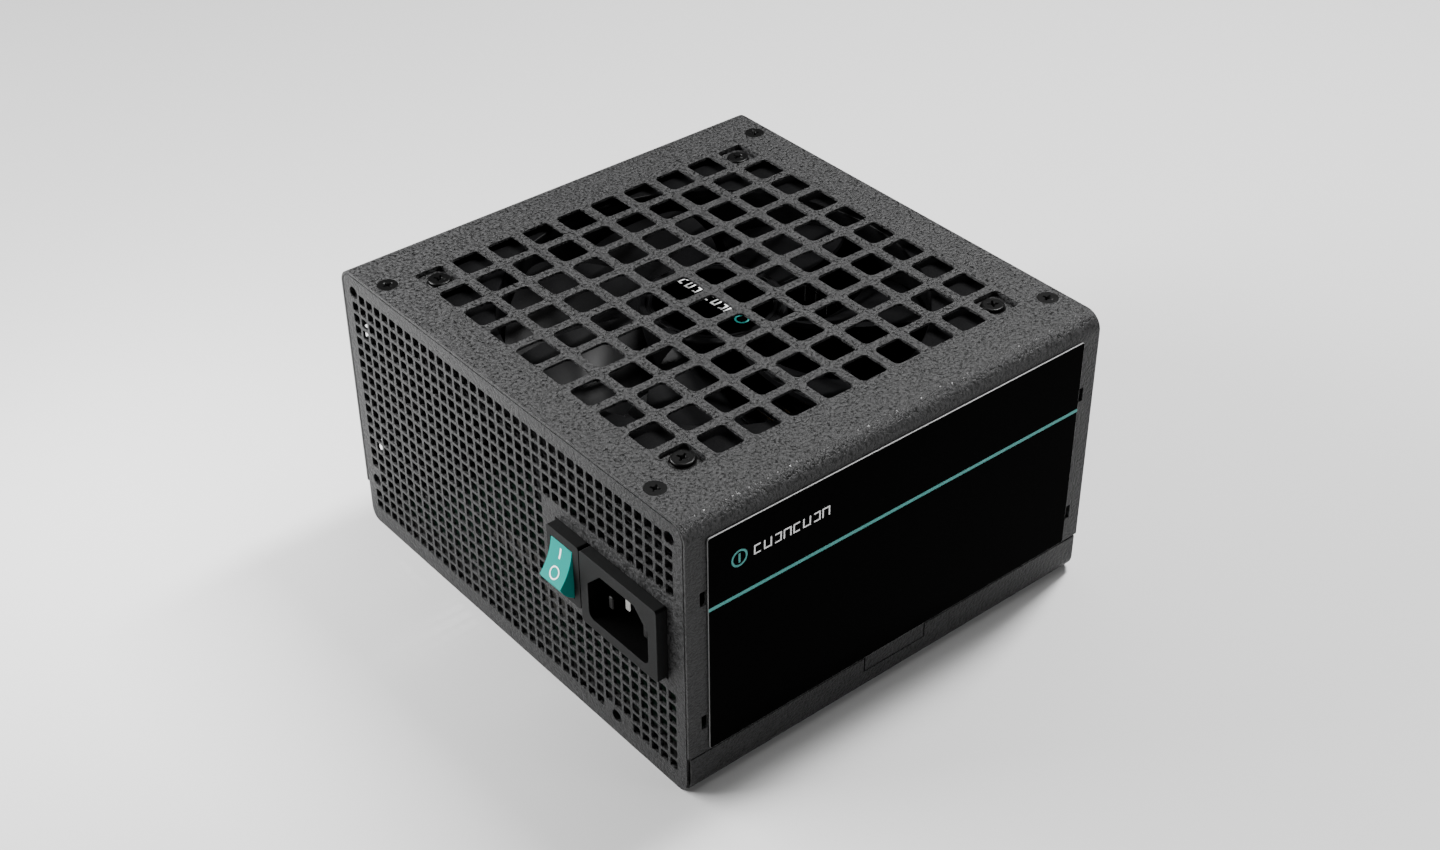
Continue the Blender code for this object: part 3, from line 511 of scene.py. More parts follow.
# %% Tray: the vented mains wall
COLUMNS, ROWS = 37, 20
VENT_X, VENT_Z, VENT_HOLE, VENT_R = 3.82, 3.80, 2.9, 0.45
VENT_TOP = 79.3
WALL_X, WALL_TOP, WALL_R = 73.9, 84.9, 3.9
vent_middle = VENT_TOP - (ROWS - 1) / 2 * VENT_Z
vent_half_x, vent_half_z = COLUMNS * VENT_X / 2, ROWS * VENT_Z / 2
bpy.ops.mesh.primitive_grid_add(x_subdivisions=COLUMNS, y_subdivisions=ROWS, size=MM,
                                location=mm(0, -HALF_Y, vent_middle),
                                rotation=(math.radians(90), 0, 0))
wall = bpy.context.object
wall.scale = (COLUMNS * VENT_X, ROWS * VENT_Z, 1)
bpy.ops.object.transform_apply()
edit(wall)
bpy.ops.mesh.select_all(action="SELECT")
bpy.ops.mesh.inset(thickness=(VENT_X - VENT_HOLE) / 2 * MM, use_individual=True)


def is_vent_hole(face):
    """True for a small inner cell, apart from the ones that stay solid."""
    if face.calc_area() / MM**2 > VENT_HOLE**2 + 0.5 or len(face.verts) != 4:
        return False
    x, _, z = middle(face)
    column = round(x / VENT_X + (COLUMNS - 1) / 2)
    row = round((VENT_TOP - z) / VENT_Z)
    cell_x, cell_z = (column - (COLUMNS - 1) / 2) * VENT_X, VENT_TOP - row * VENT_Z
    if not (near(x, cell_x, 0.3) and near(z, cell_z, 0.3)):
        return False
    by_mount_hole = (row == 0 and column in (0, COLUMNS - 1)) or (column == 0 and row in (16, 17))
    by_low_hole = row == ROWS - 1 and column in (29, 30, 31)
    by_modules = column >= 23 and 5 <= row <= 12
    return not (by_mount_hole or by_low_hole or by_modules)


vent_holes = choose("FACE", is_vent_hole)
bpy.ops.mesh.delete(type="FACE")
print("vent holes:", vent_holes)
for side in (-1, 1):
    choose("EDGE", lambda e: e.is_boundary and near(middle(e).x, side * vent_half_x, 0.1))
    pull(x=side * (WALL_X - vent_half_x))
choose("EDGE", lambda e: e.is_boundary and near(middle(e).z, vent_middle + vent_half_z, 0.1))
pull(z=WALL_TOP - vent_middle - vent_half_z)
choose("EDGE", lambda e: e.is_boundary and near(middle(e).z, vent_middle - vent_half_z, 0.1))
pull(z=vent_half_z - vent_middle)
choose("VERT", lambda v: near(abs(v.co.x / MM), WALL_X)
       and (near(v.co.z / MM, WALL_TOP) or near(v.co.z / MM, 0)))
bpy.ops.mesh.bevel(offset=WALL_R * MM, segments=8, affect="VERTICES")
bpy.ops.mesh.select_all(action="SELECT")
bpy.ops.mesh.normals_make_consistent(inside=False)
done()
if max(wall.data.polygons, key=lambda p: p.area).normal.y > 0:
    wall.data.flip_normals()
gauge(wall, SHEET)


# %% Tray: soften the punched corners, then cut the openings
def through_corner(edge):
    """True for an edge that runs through the sheet at the corner of a small hole."""
    run = (edge.verts[0].co - edge.verts[1].co) / MM
    x, _, z = middle(edge)
    in_vent = abs(x) < vent_half_x - 0.2 and abs(z - vent_middle) < vent_half_z - 0.2
    return abs(run.x) < 0.001 and abs(run.z) < 0.001 and in_vent


edit(wall)
print("hole corners:", choose("EDGE", through_corner), "of", 4 * vent_holes)
bpy.ops.mesh.bevel(offset=VENT_R * MM, segments=2, affect="EDGES")
done()
INLET_X, INLET_Z = (36.35, 67.2), (34.9, 57.7)
SWITCH_X, SWITCH_Z = (22.7, 36.05), (38.0, 57.8)
PROUD = -HALF_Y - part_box("inlet_housing")[0].y / MM
MOUNT_HOLES = ((-69.0, 80.0), (69.0, 80.0), (-69.0, 16.0), (45.0, 6.0))
MOUNT_R, GAP = 1.9, 0.3
near_y, far_y = -HALF_Y - 1, -HALF_Y + 2
openings = [block((x_low - GAP, near_y, z_low - GAP), (x_high, far_y, z_high + GAP))
            for x_low, x_high, z_low, z_high in ((SWITCH_X[0], INLET_X[0], *SWITCH_Z),
                                                 (INLET_X[0], INLET_X[1] + GAP, *INLET_Z))]
openings += [rod(MOUNT_R, near_y, far_y, axis="Y", at=(x, 0, z), sides=32) for x, z in MOUNT_HOLES]
combine(wall, openings)
soften(wall, 0.09, segments=1)

# %% Tray: threaded collars, cable wall and screw tabs
tray_parts = [floor_sheet, wall]
COLLAR_DEPTH = 2.6
for x, z in MOUNT_HOLES:
    collar = rod(MOUNT_R + 0.7, -HALF_Y + 0.2, -HALF_Y + COLLAR_DEPTH, axis="Y", at=(x, 0, z),
                 sides=32)
    thread = [rod(MOUNT_R - 0.05, near_y, far_y + 2, axis="Y", at=(x, 0, z), sides=32)]
    for turn in range(4):
        start = -HALF_Y + 0.5 + 0.5 * turn
        thread.append(rod(MOUNT_R + 0.2, start, start + 0.28, axis="Y", at=(x, 0, z), sides=32,
                          tip=MOUNT_R))
    tray_parts.append(combine(collar, thread))
cable_wall = slab((-WALL_X, 0), (WALL_X, WALL_TOP), SHEET, (WALL_R,) * 4, axis="Y",
                  at=HALF_Y - SHEET)
gland_hole = slab((-54.3, 28.7), (-15.7, 51.3), 4, (11.2,) * 4, axis="Y", at=HALF_Y - 2)
tray_parts.append(soften(combine(cable_wall, [gland_hole]), 0.13))
TAB_TOP, TAB_REACH, TAB_HALF_WIDTH = 83.4, 8.5, 6.0
for x, y in COVER_SCREWS:
    inner, outer = sorted(math.copysign(HALF_Y - inset, y) for inset in (TAB_REACH, SHEET / 2))
    tab = block((x - TAB_HALF_WIDTH, inner, TAB_TOP - SHEET), (x + TAB_HALF_WIDTH, outer, TAB_TOP))
    tap_hole = rod(1.8, TAB_TOP - 3, TAB_TOP + 1, at=(x, y, 0), sides=24)
    tray_parts.append(soften(combine(tab, [tap_hole]), 0.12))
pick(*tray_parts[::-1])
bpy.ops.object.join()
tray = bpy.context.object
tray.data.materials.append(POWDER)
seat(tray, "case_tray", "case", ["bottom_tray"])

# %% [markdown]
# ## Screws
# Four flush screws hold the cover and four pan-head screws hold the fan in its pockets. Each kind
# is modelled once at the origin: a turned head, a drive cross that narrows towards its floor, and
# a shank with a few thread ridges. Every copy gets its own mesh and its own turn, because no
# two screws stop at the same angle.

# %% Screws: shapes
def stretch(x, y, z, centre):
    """Scale what is selected about a point."""
    bpy.ops.transform.resize(value=(x, y, z), center_override=mm(*centre))


def drive_cross(top, reach=1.75, width=0.72, depth=1.25):
    """The tapered cross that a driver's tip fits."""
    arms = []
    for long_x in (True, False):
        half = (reach, width / 2) if long_x else (width / 2, reach)
        arm = block((-half[0], -half[1], top - depth), (half[0], half[1], top + 0.4))
        edit(arm)
        choose("FACE", lambda f: f.normal.z < -0.5)
        stretch(0.42 if long_x else 0.8, 0.8 if long_x else 0.42, 1, (0, 0, top - depth))
        done()
        arms.append(arm)
    arms.append(rod(0.2, top - depth, top + 0.4, sides=16, tip=0.95))
    return arms


def add_shank(screw, radius, start, length, ridge=0.32, step=0.5):
    """Pull the underside down as a shank with thread ridges."""
    edit(screw)
    choose("FACE", lambda f: f.normal.z < -0.9)
    bottom = start
    bpy.ops.mesh.inset(thickness=0.01 * MM)
    for _ in range(int(length / (2 * step))):
        for factor in (1 + ridge / radius, 1 / (1 + ridge / radius)):
            pull(z=-step)
            bottom -= step
            stretch(factor, factor, 1, (0, 0, bottom))
    done()


def make_flush_screw():
    head = rod(1.45, 84.35, 85.72, sides=48, tip=2.86)
    edit(head)
    choose("FACE", lambda f: f.normal.z > 0.9)
    pull(z=0.23)
    choose("EDGE", lambda e: near(middle(e).z, 85.95) and len(e.link_faces) == 2)
    bpy.ops.mesh.bevel(offset=0.1 * MM, segments=2, affect="EDGES")
    done()
    add_shank(head, 1.45, 84.35, 7)
    return combine(head, drive_cross(85.95))


def make_pan_screw():
    head = rod(3.2, 84.62, 85.6, sides=48)
    edit(head)
    choose("EDGE", lambda e: near(middle(e).z, 85.6, 0.05))
    bpy.ops.mesh.bevel(offset=0.62 * MM, segments=6, affect="EDGES")
    choose("FACE", lambda f: f.normal.z < -0.9)
    bpy.ops.mesh.inset(thickness=1.7 * MM)
    done()
    add_shank(head, 1.5, 84.62, 9)
    return combine(head, drive_cross(85.6, reach=1.9, width=0.8))


def stamp(master, x, y, degrees):
    """A copy with its own mesh, turned and moved to its place."""
    copy = bpy.data.objects.new(master.name, master.data.copy())
    bpy.context.scene.collection.objects.link(copy)
    spun = Matrix.Rotation(math.radians(degrees), 4, "Z")
    copy.data.transform(Matrix.Translation(mm(x, y, 0)) @ spun)
    return copy


# %% Screws: copies
flush, pan = make_flush_screw(), make_pan_screw()
for master in (flush, pan):
    soften(master, 0.04, segments=1, angle=40)
    master.data.materials.append(BLACK_STEEL)
cover_turns = {"front_left": 8, "front_right": 35, "rear_left": 62, "rear_right": 17}
fan_turns = {"front_left": 40, "rear_left": 12, "front_right": 28, "rear_right": 55}
for master, kind, places, turns in ((flush, "cover_screw_", COVER_SCREWS, cover_turns),
                                    (pan, "fan_screw_", FAN_SCREWS, fan_turns)):
    for (x, y), (place, degrees) in zip(places, turns.items()):
        screw = stamp(master, x, y, degrees)
        seat(screw, kind + "fine_" + place, "case", [kind + place])
    bpy.data.objects.remove(master, do_unlink=True)

# %% [markdown]
# ## Side panel and rating label
# A thin glossy sheet is stuck on one side, with a teal line along it and a small emblem. The line
# could be a mask in the material, but it runs straight through, so two bisects and
# a second material do it and survive any export. In place of lettering there is a row of plain
# strokes that spell nothing.

# %% Panel
def paint(obj, material, test):
    """Give the faces that pass the test another material."""
    obj.data.materials.append(material)
    obj.active_material_index = len(obj.data.materials) - 1
    edit(obj)
    choose("FACE", test)
    bpy.ops.object.material_slot_assign()
    done()


PANEL_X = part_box("side_panel")[0].x / MM
PANEL_T = 0.4
LINE_Z, LINE_W = 58.5, 1.0
panel = slab((-63.7, 13.3), (63.8, 80.3), PANEL_T, (0.8,) * 4, axis="X", at=PANEL_X)
edit(panel)
for height in (LINE_Z - LINE_W / 2, LINE_Z + LINE_W / 2):
    bpy.ops.mesh.select_all(action="SELECT")
    bpy.ops.mesh.bisect(plane_co=mm(0, 0, height), plane_no=(0, 0, 1))
done()
soften(panel, 0.1, segments=2)
panel.data.materials.append(GLOSS)
paint(panel, EDGE_GREY, lambda f: f.normal.x < 0.95)
paint(panel, TEAL_INK, lambda f: f.normal.x > 0.95 and near(middle(f).z, LINE_Z, LINE_W / 2))
seat(panel, "side_panel_fine", "case", ["side_panel"])

# %% Panel: the emblem, a ring with a bar through it, and a row of plain strokes
PRINT_T = 0.03
face_x = PANEL_X + PANEL_T


def print_bars(name, material, spans, x, body, axis="X", radius=0.15):
    """Flat printed bars that lie on a face."""
    made = [slab(low, high, PRINT_T, (radius,) * 4, axis=axis, at=x, segments=3)
            for low, high in spans]
    pick(*made[::-1])
    if len(made) > 1:
        bpy.ops.object.join()
    bars = bpy.context.object
    bars.data.materials.append(material)
    return seat(bars, name, body, weighted=False)


EMBLEM_Y, EMBLEM_Z, EMBLEM_R, EMBLEM_INNER_R = -54.1, 69.8, 2.5, 1.95
emblem_at = (0, EMBLEM_Y, EMBLEM_Z)
ring = rod(EMBLEM_R, face_x, face_x + PRINT_T, axis="X", at=emblem_at, sides=64)
combine(ring, [rod(EMBLEM_INNER_R, face_x - 1, face_x + 1, axis="X", at=emblem_at, sides=64)])
ring.data.materials.append(TEAL_INK)
seat(ring, "panel_emblem_ring", "case", weighted=False)
print_bars("panel_emblem_bar", TEAL_INK, [((-54.4, 68.4), (-53.8, 71.2))], face_x, "case")


def glyph_row(start, pitch, low, wide, tall, stroke, count):
    """A row of small open boxes in the place of lettering; each leaves out a different side."""
    strokes = []
    for index in range(count):
        left, right, top = start + pitch * index, start + pitch * index + wide, low + tall
        sides = [((left, low), (left + stroke, top)), ((right - stroke, low), (right, top)),
                 ((left + stroke, low), (right - stroke, low + stroke)),
                 ((left + stroke, top - stroke), (right - stroke, top))]
        sides.pop((1, 3, 0, 2)[index % 4])
        strokes += sides
    return strokes


panel_row = glyph_row(start=-49.6, pitch=3.1, low=68.4, wide=2.5, tall=2.8, stroke=0.42, count=8)
print_bars("panel_emblem_letters", WHITE_INK, panel_row, face_x, "case", radius=0.0)

# %% Rating label: a plain table of bars
LABEL_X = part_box("rating_label")[0].x / MM
label = slab((-55.0, 16.0), (55.0, 78.0), 0.2, (2.0,) * 4, axis="X", at=LABEL_X)
soften(label, 0.04, segments=1)
PAPER = finish("plain_label", (0.02,) * 3, (0.032,) * 3, (0.45, 0.55), grain=0.6, bump=0.003)
label.data.materials.append(PAPER)
seat(label, "rating_label_fine", "case", ["rating_label"])
rules = [((-50, 20 + 6.5 * i), (50, 20.35 + 6.5 * i)) for i in range(6)]
rules += [((-50 + 20 * i, 20), (-49.65 + 20 * i, 52.85)) for i in range(6)]
rules += [((-47 + 20 * i, 22.7 + 6.5 * j), (-38 + 20 * i - 2 * ((i + j) % 3), 24.1 + 6.5 * j))
          for i in range(5) for j in range(5)]
rules += [((-50, 58 + 4.5 * j), (10 + 12 * (j % 3), 59.6 + 4.5 * j)) for j in range(4)]
print_bars("rating_label_table", WHITE_INK, rules, LABEL_X - PRINT_T, "case",
           radius=0.05)

# %% [markdown]
# ## Mains inlet
# A moulded grey housing stands a little proud of the wall. Its mouth is the usual mains shape,
# with two cut top corners and two round lower ones, and three flat pins stand inside. All three are
# the same metal on a real unit; two are darkened as painted shade, for they stand deep in its
# shade.

# %% Inlet
BEZEL_Y = -HALF_Y - PROUD
BEZEL_DEPTH = 5.2
SOCKET_FLOOR = -55.5
inlet = slab((INLET_X[0], INLET_Z[0]), (INLET_X[1], INLET_Z[1]), BEZEL_DEPTH, (0.9,) * 4, axis="Y",
             at=BEZEL_Y)
flange = block((INLET_X[0], -68.9, INLET_Z[0] - 1.8), (69.2, -67.4, INLET_Z[1] + 1.6))
body = block((38.0, -68.4, 36.4), (65.2, -51.0, 56.0))
combine(inlet, [flange, body], "UNION")
mouth = slab((39.5, 38.0), (63.6, 54.1), SOCKET_FLOOR - BEZEL_Y + 1, (2.2, 2.2, -5.2, -5.2),
             axis="Y", at=BEZEL_Y - 1)
combine(inlet, [mouth])
PINS = {"line_pin": (58.55, 44.05), "neutral_pin": (44.55, 44.05), "earth_pin": (51.55, 48.05)}
combine(inlet, [block((x - 1.3, SOCKET_FLOOR - 1, z - 2.3), (x + 1.3, -50, z + 2.3))
                for x, z in PINS.values()])
soften(inlet, 0.22, segments=3)
inlet.data.materials.append(GREY_PLASTIC)
# The mouth's walls and floor are painted near black, far darker than the housing's own grey
# plastic: painted shade for the deep recess.
SOCKET_PAINTED_SHADE = finish("socket_painted_shade", (0.0004,) * 3, (0.0012,) * 3, (0.5, 0.6), grain=0.3,
                      bump=0.006, specular=0.05)


def in_socket(face):
    x, y, z = middle(face)
    return y > BEZEL_Y + 0.35 and 39.0 < x < 64.1 and 37.5 < z < 54.6 and y < SOCKET_FLOOR + 0.2


paint(inlet, SOCKET_PAINTED_SHADE, in_socket)
seat(inlet, "inlet_housing_fine", "case", ["inlet_housing"])
for name, (x, z) in PINS.items():
    pin = block((x - 1, -70, z - 2), (x + 1, -44, z + 2), radius=0.55, segments=4)
    # The earth pin keeps the tinned brass; the other two get the painted-shade copy.
    pin.data.materials.append(TIN if name == "earth_pin" else SHADED_PIN_METAL)
    seat(pin, name + "_fine", "case", [name])

# %% [markdown]
# ## Switch
# The rocker is a short drum on two trunnions. Its front is slightly hollow for a fingertip, and it
# rests tilted with the "on" end pressed in. A drum cut by two larger solids gives just that
# shape, and the marks are painted by a mask that follows the rocker's own face.

# %% Switch housing
PIVOT_Y, PIVOT_Z, DRUM_R = -69.6, 47.4, 8.05
ROCKER_X = (24.5, 33.3)
TILT = math.radians(22.5)
switch = slab((SWITCH_X[0], SWITCH_Z[0]), (SWITCH_X[1], SWITCH_Z[1]), BEZEL_DEPTH, (0.7,) * 4,
              axis="Y", at=BEZEL_Y)
combine(switch, [block((20.9, -68.9, SWITCH_Z[0] - 1.8), (SWITCH_X[1], -67.4, SWITCH_Z[1] + 1.6)),
                 block((23.0, -68.4, 38.6), (35.75, -53.0, 57.2))], "UNION")
pivot = (0, PIVOT_Y, PIVOT_Z)
combine(switch,
        [rod(DRUM_R + 0.35, ROCKER_X[0] - 0.3, ROCKER_X[1] + 0.3, axis="X", at=pivot, sides=96),
                 block((26.4, -62.5, 39.8), (31.4, -54.5, 55.0)),
                 rod(1.5, 22.9, 34.7, axis="X", at=pivot, sides=24)])
combine(switch, [block((27.0, -56.0, z - 0.8), (30.8, -52.0, z + 0.8)) for z in (42.2, 52.6)])
soften(switch, 0.18, segments=2)
switch.data.materials.append(GREY_PLASTIC)
seat(switch, "switch_housing_fine", "case", ["switch_housing"])

# %% Rocker: a drum, a hollow face and a flat back
FACE_DISTANCE, FACE_HOLLOW, BACK_DISTANCE = 6.0, 0.8, 1.5
half_face = math.sqrt(DRUM_R**2 - FACE_DISTANCE**2)
hollow_r = (half_face**2 + FACE_HOLLOW**2) / (2 * FACE_HOLLOW)
outward = Vector((0, -math.cos(TILT), math.sin(TILT)))
hollow_at = Vector(pivot) + outward * (FACE_DISTANCE - FACE_HOLLOW + hollow_r)
rocker = rod(DRUM_R, *ROCKER_X, axis="X", at=pivot, sides=128)
hollow = rod(hollow_r, ROCKER_X[0] - 2, ROCKER_X[1] + 2, axis="X", at=hollow_at, sides=360)
rear = block((ROCKER_X[0] - 2, PIVOT_Y + BACK_DISTANCE, PIVOT_Z - 20),
             (ROCKER_X[1] + 2, PIVOT_Y + 30, PIVOT_Z + 20))
about = Matrix.Translation(mm(*pivot))
rear.data.transform(about @ Matrix.Rotation(-TILT, 4, "X") @ about.inverted())
combine(rocker, [hollow, rear])
soften(rocker, 0.28, segments=3, angle=40)
trunnions = rod(1.2, 23.2, 34.4, axis="X", at=pivot, sides=24)
pick(trunnions, rocker)
bpy.ops.object.join()


# %% Rocker: the painted marks
def math_node(nodes, link, operation, *values):
    """A Math node whose inputs are sockets or numbers."""
    node = nodes.new("ShaderNodeMath")
    node.operation = operation
    for socket, value in zip(node.inputs, values):
        if isinstance(value, bpy.types.NodeSocket):
            link(value, socket)
        else:
            socket.default_value = value
    return node.outputs[0]


def marks_group():
    """A mask that is 1 on the bar and on the ring of the rocker's face."""
    group = bpy.data.node_groups.new("rocker_marks", "ShaderNodeTree")
    value_socket(group, "Mask", 0, "OUTPUT")
    nodes, link = group.nodes, group.links.new
    place = nodes.new("ShaderNodeTexCoord")
    split = nodes.new("ShaderNodeSeparateXYZ")
    link(place.outputs["Object"], split.inputs[0])

    def calc(operation, *values):
        return math_node(nodes, link, operation, *values)

    side = calc("SUBTRACT", split.outputs["X"], sum(ROCKER_X) / 2 * MM)
    dy = calc("SUBTRACT", split.outputs["Y"], PIVOT_Y * MM)
    dz = calc("SUBTRACT", split.outputs["Z"], PIVOT_Z * MM)
    sine, cosine = math.sin(TILT), math.cos(TILT)
    across = calc("ADD", calc("MULTIPLY", dy, sine), calc("MULTIPLY", dz, cosine))
    out = calc("SUBTRACT", calc("MULTIPLY", dz, sine), calc("MULTIPLY", dy, cosine))
    front = calc("GREATER_THAN", out, 5.2 * MM)
    bar_wide = calc("LESS_THAN", calc("ABSOLUTE", side), BAR_HALF_WIDTH * MM)
    from_bar = calc("ABSOLUTE", calc("SUBTRACT", across, BAR_AT * MM))
    bar_long = calc("LESS_THAN", from_bar, BAR_HALF_LENGTH * MM)
    over = calc("SUBTRACT", across, RING_AT * MM)
    reach = calc("SQRT", calc("ADD", calc("MULTIPLY", side, side), calc("MULTIPLY", over, over)))
    from_ring = calc("ABSOLUTE", calc("SUBTRACT", reach, RING_R * MM))
    on_ring = calc("LESS_THAN", from_ring, RING_HALF_WIDTH * MM)
    either = calc("MAXIMUM", calc("MULTIPLY", bar_wide, bar_long), on_ring)
    end = nodes.new("NodeGroupOutput")
    link(calc("MULTIPLY", either, front), end.inputs["Mask"])
    return group


BAR_AT, BAR_HALF_WIDTH, BAR_HALF_LENGTH = 2.7, 0.3, 1.5
RING_AT, RING_R, RING_HALF_WIDTH = -2.75, 1.6, 0.19
MARKED_TEAL = TEAL_PLASTIC.copy()
MARKED_TEAL.name = "teal_plastic_marked"
teal_nodes, teal_link = MARKED_TEAL.node_tree.nodes, MARKED_TEAL.node_tree.links.new
marks = teal_nodes.new("ShaderNodeGroup")
marks.node_tree = marks_group()
printed = teal_nodes.new("ShaderNodeMix")
printed.data_type = "RGBA"
printed.inputs["B"].default_value = (0.82, 0.84, 0.84, 1)
teal_shader = teal_nodes["Principled BSDF"]
teal_link(teal_shader.inputs["Base Color"].links[0].from_socket, printed.inputs["A"])
teal_link(marks.outputs["Mask"], printed.inputs["Factor"])
teal_link(printed.outputs["Result"], teal_shader.inputs["Base Color"])
rocker.data.materials.append(MARKED_TEAL)
seat(rocker, "rocker_fine", "rocker", ["switch_rocker"])

# %% [markdown]
# ## Fan frame
# A 120 mm square frame with rounded corners, drawn as its real members: two flanges, the round
# duct between them, a post round each screw hole, four struts and the motor's base.

# %% Fan frame
FAN_TOP, FAN_LOW, FLANGE_T = 83.4, 58.4, 3.6
BORE_R, POST_R = 58.0, 4.6
frame_parts = []
for low in (FAN_TOP - FLANGE_T, FAN_LOW):
    ring_plate = slab((-60, -60), (60, 60), FLANGE_T, (6.0,) * 4, at=low, segments=8)
    cutters = [rod(BORE_R, low - 2, low + FLANGE_T + 2, sides=160)]
    cutters += [rod(2.15, low - 2, low + FLANGE_T + 2, at=(x, y, 0), sides=24)
                for x, y in FAN_SCREWS]
    frame_parts.append(soften(combine(ring_plate, cutters), 0.5, segments=3))
duct = rod(BORE_R + 1.6, FAN_LOW + 1, FAN_TOP - 1, sides=160)
frame_parts.append(combine(duct, [rod(BORE_R + 0.01, FAN_LOW, FAN_TOP, sides=160)]))
for x, y in FAN_SCREWS:
    post = rod(POST_R, FAN_LOW + 1, FAN_TOP - 1, at=(x, y, 0), sides=32)
    frame_parts.append(combine(post, [rod(2.15, FAN_LOW - 1, FAN_TOP + 1, at=(x, y, 0), sides=24)]))
frame_parts.append(soften(rod(19.0, FAN_LOW, FAN_LOW + 2, sides=96), 0.4))
for degrees in (45, 135, 225, 315):
    strut = block((17, -2, FAN_LOW + 0.2), (BORE_R + 1, 2, FAN_LOW + 1.8), radius=0.5)
    strut.data.transform(Matrix.Rotation(math.radians(degrees), 4, "Z"))
    frame_parts.append(strut)
pick(*frame_parts[::-1])
bpy.ops.object.join()
fan_frame = bpy.context.object
fan_frame.data.materials.append(BLACK_PLASTIC)
seat(fan_frame, "fan_frame_fine", "case", ["fan_frame"])

# %% [markdown]
# ## Impeller
# Seven wide glossy blades on a hub cup. A blade is easiest to shape while it is flat: a grid is
# slid sideways row by row for its sweep, each row is turned to its own pitch, and a Simple
# Deform then bends the whole blade round the shaft.

# %% Impeller: one blade
HUB_R, TIP_R, BLADES, BLADE_Z = 20.0, 56.6, 7, 73.0
ROOT_R = HUB_R - 1.0
SPAN, MEAN_R = TIP_R - ROOT_R, (TIP_R + ROOT_R) / 2
WRAP = math.radians(43)
ACROSS, OUT = 10, 14
CAMBER, ROOT_RISE, RISE_LOSS, SWEEP = 1.6, 15.5, 4.5, math.radians(16)
bpy.ops.mesh.primitive_grid_add(x_subdivisions=ACROSS, y_subdivisions=OUT, size=MM)
blade = bpy.context.object
blade.scale = (WRAP * MEAN_R, SPAN, 1)
bpy.ops.object.transform_apply()
edit(blade)
chord = WRAP * MEAN_R
for column in range(ACROSS + 1):
    at_x = chord * (column / ACROSS - 0.5)
    lift = CAMBER * (1 - (2 * column / ACROSS - 1) ** 2)
    choose("VERT", lambda v: near(v.co.x / MM, at_x, 0.05))
    bpy.ops.transform.translate(value=mm(0, 0, lift))
for row in range(OUT + 1):
    reach = row / OUT
    at_y = SPAN * (reach - 0.5)
    choose("VERT", lambda v: near(v.co.y / MM, at_y, 0.05))
    rise = ROOT_RISE - RISE_LOSS * reach
    bpy.ops.transform.rotate(value=math.atan2(rise, chord), orient_axis="Y",
                             center_override=mm(0, at_y, 0))
    bpy.ops.transform.translate(value=mm(-SWEEP * reach**1.4 * MEAN_R, 0, 0))
for far in (max, min):
    shape = bmesh.from_edit_mesh(blade.data)
    tips = [v for v in shape.verts if near(v.co.y / MM, SPAN / 2, 0.05)]
    corner = far(tips, key=lambda v: v.co.x).co.copy()
    choose("VERT", lambda v: (v.co - corner).length < 0.01 * MM)
    bpy.ops.mesh.bevel(offset=3.6 * MM, segments=5, affect="VERTICES")
done()

# %% Impeller: bend the blade round the shaft and copy it
shaped_width = max(v.co.x for v in blade.data.vertices) - min(v.co.x for v in blade.data.vertices)
apply(blade, "SIMPLE_DEFORM", deform_method="BEND", deform_axis="Z",
      angle=-shaped_width / (MEAN_R * MM))
blade.data.transform(Matrix.Translation(mm(0, MEAN_R, BLADE_Z - 0.5)))
apply(blade, "SOLIDIFY", thickness=1.5 * MM, offset=0)
face_out(blade)
soften(blade, 0.5, segments=3, angle=60)
reach = [math.hypot(v.co.x, v.co.y) / MM for v in blade.data.vertices]
heights = [v.co.z / MM for v in blade.data.vertices]
print(f"blade radius {min(reach):.1f} to {max(reach):.1f}")
print(f"blade height {min(heights):.1f} to {max(heights):.1f}")
blades = [stamp(blade, 0, 0, 360 * index / BLADES - 90) for index in range(BLADES)]
bpy.data.objects.remove(blade, do_unlink=True)

# %% Impeller: the hub cup, with fine rings round its top
HUB_TOP, HUB_LOW = 82.3, 64.4
hub = rod(HUB_R, HUB_LOW, HUB_TOP, sides=128)
edit(hub)
choose("EDGE", lambda e: near(middle(e).z, HUB_TOP, 0.05))
bpy.ops.mesh.bevel(offset=0.7 * MM, segments=4, affect="EDGES")
choose("FACE", lambda f: f.normal.z > 0.9 and len(f.verts) > 8)
for inset, step in ((0.9, 0), (0.15, -0.3), (0.9, 0), (0.15, 0.3), (0.7, 0), (0.15, -0.3)):
    bpy.ops.mesh.inset(thickness=inset * MM)
    bpy.ops.transform.translate(value=mm(0, 0, step))
choose("FACE", lambda f: f.normal.z < -0.9 and len(f.verts) > 8)
bpy.ops.mesh.inset(thickness=1.6 * MM)
pull(z=16.2)
done()
pick(*blades, hub)
bpy.ops.object.join()
impeller = bpy.context.object
impeller.data.materials.append(BLACK_PLASTIC)
seat(impeller, "impeller_fine", "rotor", ["fan_rotor"])

# %% Impeller: the round label on the hub
LABEL_R, LABEL_LOW, LABEL_TOP = 16.0, 82.4, 82.55
hub_label = soften(rod(LABEL_R, LABEL_LOW, LABEL_TOP, sides=128), 0.05, segments=2)
hub_label.data.materials.append(GLOSS)
seat(hub_label, "hub_label_fine", "rotor", ["fan_hub_label"])
hub_row = glyph_row(start=-13.6, pitch=2.75, low=-1.4, wide=2.0, tall=2.8, stroke=0.5, count=8)
print_bars("hub_label_letters", WHITE_INK, hub_row, LABEL_TOP, "rotor", axis="Z",
           radius=0.0)
MARK_AT, MARK_R, MARK_INNER_R = (11.9, 0, 0), 2.0, 1.5
mark = rod(MARK_R, LABEL_TOP, LABEL_TOP + PRINT_T, at=MARK_AT, sides=48)
combine(mark, [rod(MARK_INNER_R, LABEL_TOP - 1, LABEL_TOP + 1, at=MARK_AT, sides=48)])
mark.data.materials.append(TEAL_INK)
